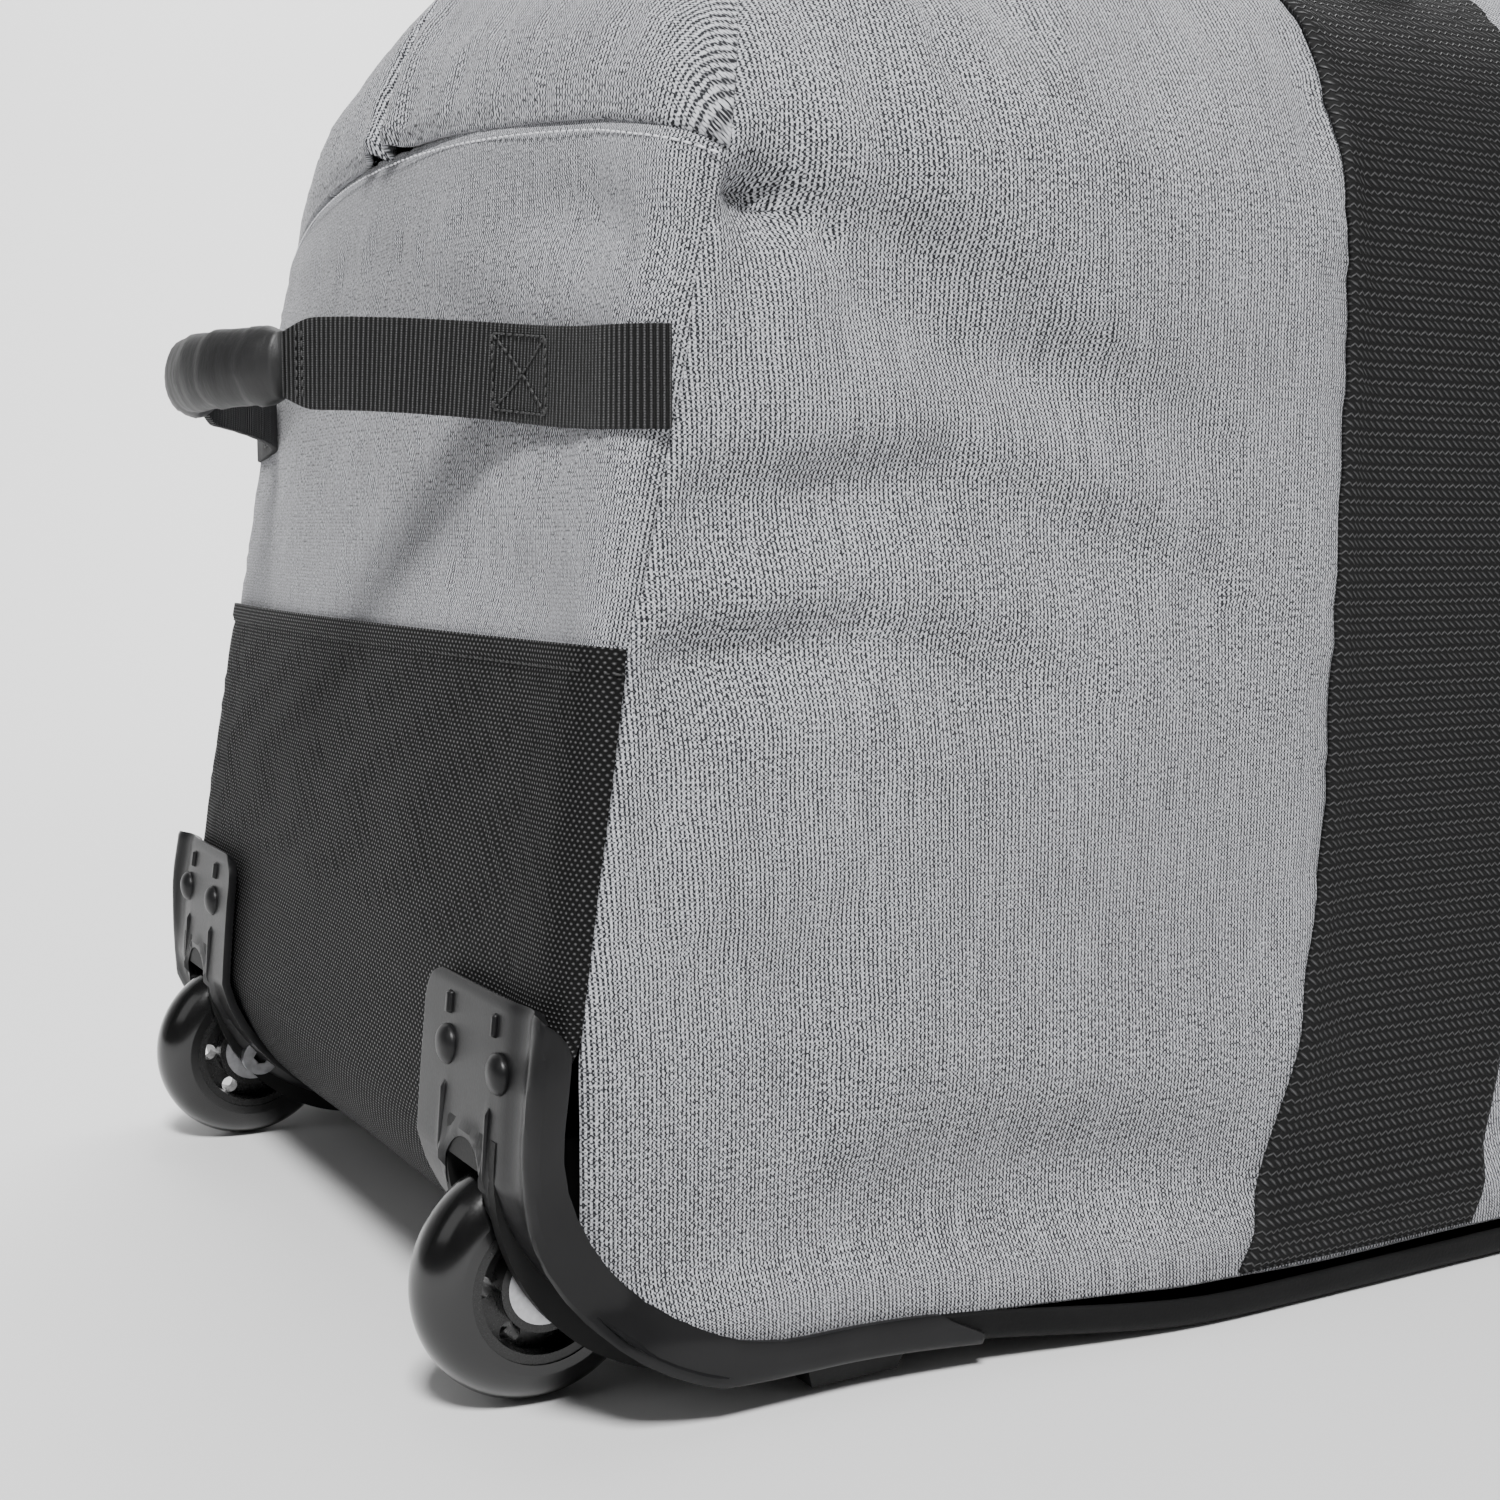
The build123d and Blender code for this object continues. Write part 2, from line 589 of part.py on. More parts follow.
def main():
    skin_guard = body_shape(guard_thickness)
    guard_layer = skin_guard - body
    band_layer = body_shape(band_thickness) - body
    tab_layer = body_shape(band_thickness + 3) - body_shape(band_thickness)

    inner_body = body_shape(-panel)
    housing_hole = housing_clearance(-1) + housing_clearance(1)

    # wheels, axles, housings and guards
    for sign, side in sides():
        parts[f"wheel_housing_{side}"] = make_housing(sign, skin_guard)
        parts[f"tyre_{side}"] = make_tyre(sign)
        parts[f"wheel_hub_{side}"] = make_hub(sign)
        parts[f"wheel_bearings_{side}"] = make_bearings(sign)
        parts[f"corner_guard_{side}"] = make_guard(sign, guard_layer, housing_hole)
    parts["axle_bolts"] = Compound(children=[make_axle(sign) for sign, _ in sides()])
    rivets = [make_rivet(sign, step) for sign, _ in sides() for step in (-1, 1)]
    parts["guard_rivets"] = Compound(children=rivets)
    rivet_holes = [
        rod_along_x(6.05, (-end_face + panel, -end_face + 12), s * wheel_y + t * rivet_offset, rivet_z)
        + rod_along_x(2.02, (-end_face - 1, -end_face + 12), s * wheel_y + t * rivet_offset, rivet_z)
        for s, _ in sides()
        for t in (-1, 1)
    ]

    # feet: the wheel-end pair stands just clear of the floor, so that the bag rolls
    wheel_feet = [make_foot(wheel_x + 82, s * 172, 2.0, (34, 26)) for s, _ in sides()]
    tow_feet = [make_foot(338, s * 140, 0.0, (44, 34)) for s, _ in sides()]
    wheel_feet = [foot - parts[f"corner_guard_{side}"] for foot, (_, side) in zip(wheel_feet, sides())]
    parts["base_feet"] = Compound(children=wheel_feet + tow_feet)

    # fabric panels, cut from one shell along the seams
    gap = slab((-far_out, far_out), (-zip_half_gap, zip_half_gap), (lean_top + 14, far_out))
    kick = borders & slab((-far_out, -end_face + wheel_corner + 16), (-far_out, far_out), (-50, kick_top))
    kick -= housing_hole
    for hole in rivet_holes:
        kick -= hole
    parts["kick_panel"] = kick
    parts["wheel_end_panel"] = borders & slab((-far_out, 0), (-far_out, far_out), (kick_top, lean_top))
    tow_low = borders & slab((end_face - 46, far_out), (-far_out, far_out), (-50, kick_top))
    parts["tow_end_kick_panel"] = tow_low - bezel_block()
    parts["tow_end_panel"] = borders & slab((0, far_out), (-far_out, far_out), (kick_top, lean_top))
    base = borders & slab(
        (-end_face + wheel_corner + 16, end_face - 46), (-far_out, far_out), (-50, side_low_z)
    )
    parts["base_panel"] = base
    for sign, side in sides():
        half = slab((-far_out, far_out), sorted((0, sign * far_out)), (-50, far_out))
        parts[f"side_panel_{side}"] = ((shell & side_tool) & half) - gap
        upper = (borders & half & slab((-far_out, far_out), (-far_out, far_out), (lean_top, far_out))) - gap
        parts[f"wheel_end_gusset_{side}"] = upper & slab((-far_out, 0), (-far_out, far_out), (0, far_out))
        parts[f"tow_end_gusset_{side}"] = upper & slab((0, far_out), (-far_out, far_out), (0, far_out))

    # zip: two tapes under the flaps and the closed coil between them
    tape_layer = body_shape(-panel - 0.1) - body_shape(-panel - 1.3)
    zip_zone = slab((-far_out, far_out), (-17, 17), (lean_top + 16, far_out))
    for sign, side in sides():
        half = slab((-far_out, far_out), sorted((sign * 0.2, sign * 17)), (0, far_out))
        parts[f"zip_tape_{side}"] = tape_layer & zip_zone & half
    coil_layer = body_shape(-1.6) - body_shape(-panel - 0.05)
    parts["zip_coil"] = coil_layer & slab((-far_out, far_out), (-2.6, 2.6), (lean_top + 18, far_out))
    for end, name in ((-1, "wheel_end"), (1, "tow_end")):
        parts[f"zip_slider_{name}"] = make_slider(end)
        parts[f"zip_pull_{name}"] = make_pull(end)

    # wide webbing bands, and the carry handles on them
    for sign, side in sides():
        for end, name in ((-1, "wheel_end"), (1, "tow_end")):
            parts[f"band_{name}_{side}"] = band_layer & band_zone(end, sign)
        loop = make_carry_loop(sign)
        parts[f"carry_handle_strap_{side}"] = loop
        parts[f"carry_handle_grip_{side}"] = make_carry_grip(sign, loop)
    tabs = [
        tab_layer
        & slab((x - 19, x + 19), sorted((sign * 123, sign * 168)), (300, far_out))
        for sign, _ in sides()
        for x in (-carry_foot_x, carry_foot_x)
    ]
    parts["carry_handle_tabs"] = Compound(children=tabs)
    strap_layer = body_shape(end_strap_thick) - body
    for end, name in ((-1, "wheel_end"), (1, "tow_end")):
        strap = make_end_strap(end, strap_layer)
        parts[f"grab_handle_strap_{name}"] = strap
        parts[f"grab_handle_grip_{name}"] = make_end_grip(end, strap)

    # base board, tube brackets and tow handle
    board = slab((-338, 388), (-158, 158), (base_z + panel, base_z + panel + 5))
    parts["base_board"] = (board & inner_body) - housing_hole
    bracket = slab((-344, -326), (-tube_y - 20, tube_y + 20), (base_z + panel + 5, tube_z + 12))
    for sign, _ in sides():
        y = sign * tube_y
        bracket -= slab(
            (-336, -320),
            (y - tube_width / 2, y + tube_width / 2),
            (tube_z - tube_height / 2, tube_z + tube_height / 2),
        )
    parts["tube_bracket"] = bracket
    saddles = []
    for x in (-60, 250):
        for sign, _ in sides():
            y = sign * tube_y
            low = base_z + panel + 5
            saddle = slab((x - 10, x + 10), (y - 19, y + 19), (low, tube_z + tube_height / 2 + 2.5))
            saddle -= slab(
                (x - 11, x + 11),
                (y - tube_width / 2, y + tube_width / 2),
                (tube_z - tube_height / 2, tube_z + tube_height / 2),
            )
            saddles.append(saddle)
    parts["tube_saddles"] = Compound(children=saddles)
    parts["tow_bezel"] = make_bezel()
    parts["tube_plugs"] = Compound(children=[make_plug(sign) for sign, _ in sides()])
    for sign, side in sides():
        parts[f"outer_tube_{side}"] = make_outer_tube(sign)
        parts[f"sliding_tube_{side}"] = make_inner_tube(sign)
        parts[f"lock_pin_{side}"] = make_pin(sign)
    parts["tow_grip"] = make_grip()
    parts["release_button"] = make_button()
    parts["release_rods"] = make_release_rods()
    parts["button_spring"] = make_button_spring()

    os.makedirs("parts", exist_ok=True)
    for name, shape in parts.items():
        export_step(shape, f"parts/{name}.step")
    print(len(parts), "sub-parts")


main()
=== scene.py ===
from math import atan2, cos, exp, pi, radians, sin, sqrt

import bpy
import bmesh
from mathutils import Matrix, Vector, noise
from mathutils.bvhtree import BVHTree


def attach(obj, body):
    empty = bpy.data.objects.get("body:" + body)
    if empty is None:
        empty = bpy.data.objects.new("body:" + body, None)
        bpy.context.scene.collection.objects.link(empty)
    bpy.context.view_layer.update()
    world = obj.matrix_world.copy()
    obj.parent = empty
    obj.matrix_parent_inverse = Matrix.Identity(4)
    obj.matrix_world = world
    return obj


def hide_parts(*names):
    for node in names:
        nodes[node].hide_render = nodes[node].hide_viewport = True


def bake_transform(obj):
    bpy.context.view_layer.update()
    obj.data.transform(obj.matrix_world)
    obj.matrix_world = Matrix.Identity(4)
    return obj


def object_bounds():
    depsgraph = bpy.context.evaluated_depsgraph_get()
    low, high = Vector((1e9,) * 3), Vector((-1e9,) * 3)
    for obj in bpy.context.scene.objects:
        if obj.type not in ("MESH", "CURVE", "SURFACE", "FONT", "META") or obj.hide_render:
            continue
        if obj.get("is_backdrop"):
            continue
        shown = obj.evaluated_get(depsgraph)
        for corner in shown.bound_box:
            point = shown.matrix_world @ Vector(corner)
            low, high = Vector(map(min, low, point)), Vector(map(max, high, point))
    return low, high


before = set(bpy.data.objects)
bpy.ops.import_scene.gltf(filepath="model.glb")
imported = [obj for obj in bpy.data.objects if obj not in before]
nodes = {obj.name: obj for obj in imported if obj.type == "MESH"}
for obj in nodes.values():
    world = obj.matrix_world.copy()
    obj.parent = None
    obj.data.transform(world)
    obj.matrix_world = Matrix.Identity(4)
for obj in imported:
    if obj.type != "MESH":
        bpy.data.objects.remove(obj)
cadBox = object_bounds()
print("frame loaded")

# shader maths


class Wire:
    def __init__(self, tree, socket=None):
        self.tree = tree
        self.socket = socket

    def node(self, kind, settings=None, sockets=None, out=0):
        made = self.tree.nodes.new(kind)
        for name, value in (settings or {}).items():
            setattr(made, name, value)
        for name, value in (sockets or {}).items():
            if isinstance(value, Wire):
                self.tree.links.new(value.socket, made.inputs[name])
            else:
                made.inputs[name].default_value = value
        return Wire(self.tree, made.outputs[out])

    def other(self, name):
        return Wire(self.tree, self.socket.node.outputs[name])

    def maths(self, operation, *values):
        return self.node("ShaderNodeMath", {"operation": operation}, dict(enumerate(values)))

    def __add__(self, value):
        return self.maths("ADD", self, value)

    def __sub__(self, value):
        return self.maths("SUBTRACT", self, value)

    def __rsub__(self, value):
        return self.maths("SUBTRACT", value, self)

    def __mul__(self, value):
        return self.maths("MULTIPLY", self, value)

    def __truediv__(self, value):
        return self.maths("DIVIDE", self, value)

    __radd__ = __add__
    __rmul__ = __mul__

    def sine(self):
        return self.maths("SINE", self)

    def whole(self):
        return self.maths("FLOOR", self)

    def part(self):
        return self.maths("FRACT", self)

    def size(self):
        return self.maths("ABSOLUTE", self)

    def between(self, low, high):  # 0 below low, 1 above high
        return self.node(
            "ShaderNodeMapRange",
            {"interpolation_type": "SMOOTHSTEP"},
            {"Value": self, "From Min": low, "From Max": high},
        )

    def blendColour(self, first, second):  # self picks between two colours
        mix = self.tree.nodes.new("ShaderNodeMix")
        mix.data_type = "RGBA"
        self.tree.links.new(self.socket, mix.inputs["Factor"])
        for socket, value in ((mix.inputs[6], first), (mix.inputs[7], second)):
            if isinstance(value, Wire):
                self.tree.links.new(value.socket, socket)
            else:
                socket.default_value = (*value, 1)
        return Wire(self.tree, mix.outputs[2])

    def noise(self, scale, detail=2.0, rough=0.5):
        return self.node(
            "ShaderNodeTexNoise", {}, {"Vector": self, "Scale": scale, "Detail": detail, "Roughness": rough}
        )

    def stretched(self, x, y, z=1.0):
        return self.node("ShaderNodeVectorMath", {"operation": "MULTIPLY"}, {0: self, 1: (x, y, z)})


def newFinish(name, **settings):
    material = bpy.data.materials.new(name)
    material.use_nodes = True
    shader = material.node_tree.nodes["Principled BSDF"]
    for socket, value in settings.items():
        shader.inputs[socket.replace("_", " ")].default_value = value
    return material, Wire(material.node_tree), shader


def feed(shader, **wires):
    for socket, wire in wires.items():
        wire.tree.links.new(wire.socket, shader.inputs[socket.replace("_", " ")])


def bump(wire, height, strength, distance):
    return wire.node("ShaderNodeBump", {}, {"Strength": strength, "Distance": distance, "Height": height})


def clothSpace(wire):  # the panel's own coordinates in metres: across, up
    uv = wire.node("ShaderNodeUVMap", {"uv_map": "cloth"})
    across = uv.node("ShaderNodeSeparateXYZ", {}, {0: uv}, "X")
    return uv, across, across.other("Y")


def greyCloth():
    look = {
        "warp": 0.00125, "weft": 0.00112, "wander": 0.0003,
        "dark": (0.012, 0.0125, 0.015), "light": (0.52, 0.525, 0.555),
    }
    material, wire, shader = newFinish("greyHeather", Roughness=0.92, Sheen_Weight=0.12, Sheen_Roughness=0.5)
    shader.inputs["Specular IOR Level"].default_value = 0.2
    uv, across, up = clothSpace(wire)
    wander = uv.stretched(1, 1).noise(60, 1) * look["wander"]
    warp = ((across + wander) * (2 * pi / look["warp"])).sine()
    weft = (up * (2 * pi / look["weft"])).sine()
    cell = warp * weft
    thread = uv.stretched(1, 0.5).noise(1800, 1.5, 0.6)
    streak = uv.stretched(1, 0.05).noise(800, 1.5)
    cloud = uv.stretched(1, 0.45).noise(26, 2)
    mix = 0.46 + cell * 0.30 + warp * 0.24
    mix += (thread - 0.5) * 1.3 + (streak - 0.5) * 0.25 + (cloud - 0.5) * 0.08
    tone = mix.between(0.24, 0.78).blendColour(look["dark"], look["light"])
    feed(shader, Base_Color=tone, Normal=bump(wire, cell * 0.5 + thread, 0.2, 0.0003))
    return material


def ballisticCloth():
    look = {"across": 0.0027, "up": 0.0025}
    material, wire, shader = newFinish("ballisticNylon")
    shader.inputs["Specular IOR Level"].default_value = 0.22
    uv, across, up = clothSpace(wire)
    row = up / (look["up"] / 2)
    shift = (row.whole() * 0.5).part()
    column = across / look["across"] + shift
    inRow = row.part() - 0.5
    inColumn = column.part() - 0.5
    spread = inRow * inRow * 3.2 + inColumn * inColumn * 5.0
    bead = 1 - spread.maths("SQRT", spread)
    bead = bead.between(0.25, 0.85)
    rough = uv.noise(900, 2)
    # painted highlight and painted shade: the bead tops are painted lighter and the gaps between them near
    # black, over the weave's own bead pattern
    tone = bead.blendColour((0.0005, 0.0005, 0.0006), (0.11, 0.11, 0.112))
    feed(
        shader,
        Base_Color=tone,
        Roughness=0.85 - bead * 0.50 + (rough - 0.5) * 0.2,
        Normal=bump(wire, bead + rough * 0.15, 1.0, 0.0012),
    )
    return material


def wovenBand():
    look = {"across": 0.00285, "up": 0.0026}
    material, wire, shader = newFinish("waffleWebbing")
    shader.inputs["Specular IOR Level"].default_value = 0.3
    uv, across, up = clothSpace(wire)
    row = up / look["up"]
    odd = (row.whole() * 0.5).part() * 2
    inRow = row.part() - 0.5
    column = across / look["across"]
    slash = (column - inRow * 1.1).part() - 0.5
    zig = inRow * 1.5 - 0.25 + (column.part() - 0.5).size() * 1.3
    ridge = (1 - slash.size() * 2.6) * (1 - odd) + (1 - zig.size() * 2.8) * odd
    edge = 1 - inRow * inRow * 3.4
    height = (ridge * edge).between(0.1, 0.95)
    fine = uv.noise(1300, 2)
    # the raised slashes are painted lighter and the grooves darker: the weave's own pattern, plus painted
    # highlight on the ridges and painted shade in the grooves
    feed(
        shader,
        Base_Color=height.blendColour((0.001, 0.001, 0.0011), (0.085, 0.085, 0.087)),
        Roughness=0.8 - height * 0.35,
        Normal=bump(wire, height + fine * 0.2, 1.0, 0.0011),
    )
    return material


def ribbedWebbing():
    look = {"rib": 0.00165, "pick": 0.0007}
    material, wire, shader = newFinish("ribbedWebbing")
    shader.inputs["Specular IOR Level"].default_value = 0.3
    uv, across, up = clothSpace(wire)
    rib = (across * (2 * pi / look["rib"])).sine() * 0.5 + 0.5
    pick = (up * (2 * pi / look["pick"])).sine() * 0.5 + 0.5
    fine = uv.noise(1500, 2)
    height = rib * (0.75 + pick * 0.25)
    # the ribs are painted lighter and the grooves between them darker: painted highlight and painted shade
    # over the webbing's own rib pattern
    shade = (height * (0.6 + fine * 0.7)).between(0.2, 1.1)
    feed(
        shader,
        Base_Color=shade.blendColour((0.001, 0.001, 0.001), (0.075, 0.075, 0.077)),
        Roughness=0.72 - rib * 0.22,
        Normal=bump(wire, height + fine * 0.2, 1.0, 0.001),
    )
    return material


def objectSpace(wire):
    return wire.node("ShaderNodeTexCoord", {}, {}, "Object")


def plastic(name, tone, rough, grain=0.25, coat=0.0, gloss=0.5):
    material, wire, shader = newFinish(name, Coat_Weight=coat, Coat_Roughness=0.12, Specular_IOR_Level=gloss)
    place = objectSpace(wire)
    cloud = place.noise(34, 3)
    fine = place.noise(1100, 2)
    bright = tuple(value * 1.35 + 0.002 for value in tone)
    feed(
        shader,
        Base_Color=cloud.between(0.3, 0.75).blendColour(tone, bright),
        Roughness=rough + (cloud - 0.5) * 0.12 + (fine - 0.5) * 0.1,
        Normal=bump(wire, fine, grain, 0.0002),
    )
    return material


def metal(name, tone, rough, brushed=(1, 1, 1)):
    material, wire, shader = newFinish(name, Metallic=1.0)
    place = objectSpace(wire)
    grain = place.stretched(*brushed).noise(420, 3)
    darker = tuple(value * 0.8 for value in tone)
    feed(
        shader,
        Base_Color=grain.between(0.3, 0.7).blendColour(darker, tone),
        Roughness=rough + (grain - 0.5) * 0.25,
        Normal=bump(wire, grain, 0.08, 0.0002),
    )
    return material


def wrapCloth():
    material, wire, shader = newFinish("gripWrap", Roughness=0.5)
    place = objectSpace(wire)
    crease = place.stretched(1, 2.5, 1).noise(60, 3, 0.6)
    fine = place.noise(1600, 2)
    feed(
        shader,
        Base_Color=crease.between(0.3, 0.8).blendColour((0.005, 0.005, 0.0052), (0.012, 0.012, 0.0125)),
        Roughness=0.42 + crease * 0.2,
        Normal=bump(wire, crease * 2 + fine * 0.25, 0.35, 0.0006),
    )
    return material


finishes = {
    "grey_fabric": greyCloth(),
    "black_fabric": ballisticCloth(),
    "webbing": ribbedWebbing(),
    "band": wovenBand(),
    "grip_wrap": wrapCloth(),
    "black_plastic": plastic("guardPlastic", (0.006, 0.006, 0.0064), 0.38, 0.12, 0.0, 0.24),
    "housing": plastic("housingPlastic", (0.003, 0.003, 0.003), 0.6, 0.25, 0.0, 0.25),
    "tyre": plastic("tyrePolyurethane", (0.002, 0.002, 0.0021), 0.22, 0.04, 0.35),
    "hub": plastic("hubPlastic", (0.006, 0.006, 0.006), 0.28, 0.12),
    "steel": metal("zincSteel", (0.6, 0.6, 0.62), 0.34),
    "aluminium": metal("satinAluminium", (0.74, 0.75, 0.77), 0.3, (0.05, 1, 1)),
    "zip_metal": metal("blackZipMetal", (0.08, 0.08, 0.085), 0.35),
    "zip_tape": plastic("zipTape", (0.012, 0.012, 0.013), 0.8, 0.5),
    "board": plastic("boardSheet", (0.010, 0.010, 0.0105), 0.6, 0.4),
    "baseCloth": plastic("coatedBaseCloth", (0.0025, 0.0025, 0.0026), 0.75, 0.8, 0.0, 0.2),
    "thread": plastic("blackThread", (0.02, 0.02, 0.02), 0.55, 0.3),
    "greyThread": plastic("greyThread", (0.6, 0.6, 0.63), 0.75, 0.3),
}
print("finishes made")

# the bag's form
form = {
    "endX": 0.419,
    "halfY": 0.196,
    "base": 0.010,
    "top": 0.452,
    "planCorner": 0.032,
    "wheelCorner": 0.078,
    "towCorner": 0.040,
    "leanFrom": 0.116,
    "leanTop": 0.348,
    "lean": 0.028,
}


def arcThrough(a, b, c, count):  # points from a to c on the circle through b
    (ax, ay), (bx, by), (cx, cy) = a, b, c
    d = 2 * (ax * (by - cy) + bx * (cy - ay) + cx * (ay - by))
    sa, sb, sc = ax * ax + ay * ay, bx * bx + by * by, cx * cx + cy * cy
    ux = (sa * (by - cy) + sb * (cy - ay) + sc * (ay - by)) / d
    uy = (sa * (cx - bx) + sb * (ax - cx) + sc * (bx - ax)) / d
    start, end = atan2(ay - uy, ax - ux), atan2(cy - uy, cx - ux)
    turn = (end - start + pi) % (2 * pi) - pi
    radius = sqrt((ax - ux) ** 2 + (ay - uy) ** 2)
    return [
        (ux + radius * cos(start + turn * i / count), uy + radius * sin(start + turn * i / count))
        for i in range(count + 1)
    ]


def endProfile(end):  # up the middle of an end panel, from under the base to the zip's end
    corner = form["wheelCorner"] if end < 0 else form["towCorner"]
    centre = (form["endX"] - corner, form["base"] + corner)
    bend = corner * cos(radians(45))
    points = [(0.0, form["base"]), (0.27, form["base"])]
    points += arcThrough(
        (centre[0], form["base"]), (centre[0] + bend, centre[1] - bend), (form["endX"], centre[1]), 14
    )
    points += [(form["endX"], form["leanFrom"]), (form["endX"] - form["lean"], form["leanTop"])]
    points += arcThrough((0.391, 0.348), (0.367, 0.412), (0.300, 0.452), 14)[1:]
    return [(end * x, z) for x, z in points]


sectionSide = [(0.0, form["base"]), (0.165, form["base"])]
sectionSide += arcThrough((0.165, 0.010), (0.1845, 0.0175), (0.191, 0.036), 8)[1:]
sectionSide += arcThrough((0.191, 0.036), (0.196, 0.190), (0.189, 0.318), 14)[1:]
sectionSide += arcThrough((0.189, 0.318), (0.177, 0.378), (0.140, 0.420), 10)[1:]
sectionSide += arcThrough((0.140, 0.420), (0.0, 0.452), (-0.140, 0.420), 24)[1:13]


class Track:  # a polyline that is read by distance
    def __init__(self, points):
        self.points = [Vector(p) for p in points]
        self.at = [0.0]
        for a, b in zip(self.points, self.points[1:]):
            self.at.append(self.at[-1] + (b - a).length)
        self.length = self.at[-1]

    def point(self, distance):
        distance = min(max(distance, 0.0), self.length)
        i = 0
        while i < len(self.at) - 2 and self.at[i + 1] < distance:
            i += 1
        step = self.at[i + 1] - self.at[i]
        return self.points[i].lerp(self.points[i + 1], (distance - self.at[i]) / step if step else 0)

    def along(self, distance):
        return (self.point(distance + 0.006) - self.point(distance - 0.006)).normalized()

    def where(self, axis, value, after=0.0):  # first distance at which a coordinate passes a value
        for i, (a, b) in enumerate(zip(self.points, self.points[1:])):
            if self.at[i] >= after and (a[axis] - value) * (b[axis] - value) <= 0 and a[axis] != b[axis]:
                return self.at[i] + (self.at[i + 1] - self.at[i]) * (value - a[axis]) / (b[axis] - a[axis])
        return self.length


section = Track(sectionSide)
endTracks = {end: Track(endProfile(end)) for end in (-1, 1)}


def formPlanes():
    planes = []

    def addOutline(points, make):
        for a, b in zip(points, points[1:] + points[:1]):
            across = Vector((b[1] - a[1], a[0] - b[0]))
            if across.length < 1e-9:
                continue
            across.normalize()
            reach = across.dot(Vector(a))
            if reach < 0:
                across, reach = -across, -reach
            planes.append((make(across), reach))

    shift = 0.2
    loop = endProfile(1) + list(reversed(endProfile(-1)))[:-1]
    side = [(x, z - shift) for x, z in loop]
    addOutline(side, lambda n: Vector((n[0], 0, n[1])))
    ring = [(y, z - shift) for y, z in sectionSide] + [(-y, z - shift) for y, z in reversed(sectionSide)]
    addOutline(ring, lambda n: Vector((0, n[0], n[1])))
    x, y, r = form["endX"], form["halfY"], form["planCorner"]
    bend = r * (1 - cos(radians(45)))
    quarter = arcThrough((x, y - r), (x - bend, y - bend), (x - r, y), 8)
    plan = quarter + [(-a, b) for a, b in reversed(quarter)]
    plan += [(-a, -b) for a, b in quarter] + [(a, -b) for a, b in reversed(quarter)]
    addOutline(plan, lambda n: Vector((n[0], n[1], 0)))
    return planes, Vector((0, 0, shift))


def between(stops, value):
    for (a, low), (b, high) in zip(stops, stops[1:]):
        if value <= b:
            return low + (high - low) * max(value - a, 0.0) / (b - a)
    return stops[-1][1]


seamStops = [(0.0, 0.405), (0.116, 0.405), (0.348, 0.377), (0.400, 0.362), (0.452, 0.335)]


def seamX(z):  # distance of the corner seams from the middle of the bag
    return between(seamStops, z)


def smooth(low, high, value):
    t = min(max((value - low) / (high - low), 0.0), 1.0)
    return t * t * (3 - 2 * t)


settling = {
    "sag": 0.0062,
    "bulge": 0.011,
    "square": 0.68,  # share by which the lowest edges of the sides are squared off, out to cornerY
    "cornerY": 0.1915,
    "lean": [(0.10, 0.0), (0.21, 0.008), (0.35, 0.021), (0.42, 0.027), (0.46, 0.018)],
    "narrow": [(0.10, 0.0), (0.21, 0.014), (0.35, 0.019), (0.42, 0.038), (0.46, 0.026)],
    "half": [(0.0, 0.19), (0.318, 0.189), (0.378, 0.177), (0.42, 0.14), (0.44, 0.09), (0.452, 0.05)],
}


def settle(point):  # the soft base hangs and bows out in mid-length, and the upper corners round in
    x, y, z = point
    side, end = (1 if y > 0 else -1), (1 if x > 0 else -1)
    reach = smooth(-0.335, -0.20, x) * (1 - smooth(0.22, 0.36, x))
    low = 1 - smooth(0.015, 0.13, z)
    share = min(abs(y) / between(settling["half"], z), 1.1)
    x -= end * between(settling["lean"], z) * share**2 * smooth(0.24, 0.37, abs(x))
    y -= side * between(settling["narrow"], z) * share**1.5 * smooth(0.24, 0.40, abs(x))
    square = smooth(0.158, 0.178, abs(y)) * (1 - smooth(0.028, 0.045, z))
    y += side * settling["square"] * square * max(settling["cornerY"] - abs(y), 0.0)
    y += side * settling["bulge"] * reach * low * smooth(0.10, 0.18, abs(y))
    return Vector((x, y, z - settling["sag"] * reach * low))


skinStyle = {"voxel": 0.0065, "frames": 20, "pressure": 4.0, "cap": 0.0065, "seamHold": 0.012}


def makeSkin():
    planes, centre = formSides, formHeart
    bm = bmesh.new()
    bmesh.ops.create_cube(bm, size=2)
    bmesh.ops.subdivide_edges(bm, edges=bm.edges[:], cuts=48, use_grid_fill=True)
    for vert in bm.verts:
        way = Vector((vert.co.x * 0.40, vert.co.y * 0.19, vert.co.z * 0.22))
        vert.co = centre + way * min(reach / way.dot(n) for n, reach in planes if way.dot(n) > 1e-6)
    mesh = bpy.data.meshes.new("skin")
    bm.to_mesh(mesh)
    bm.free()
    skin = bpy.data.objects.new("skin", mesh)
    bpy.context.scene.collection.objects.link(skin)
    remesh = skin.modifiers.new("even", "REMESH")
    remesh.mode, remesh.voxel_size = "VOXEL", skinStyle["voxel"]
    applied = bpy.data.meshes.new_from_object(skin.evaluated_get(bpy.context.evaluated_depsgraph_get()))
    skin.modifiers.clear()
    skin.data = applied
    bm = bmesh.new()
    bm.from_mesh(skin.data)
    for _ in range(5):
        bmesh.ops.smooth_vert(
            bm, verts=bm.verts[:], factor=0.5, use_axis_x=True, use_axis_y=True, use_axis_z=True
        )
    bm.to_mesh(skin.data)
    bm.free()
    return skin


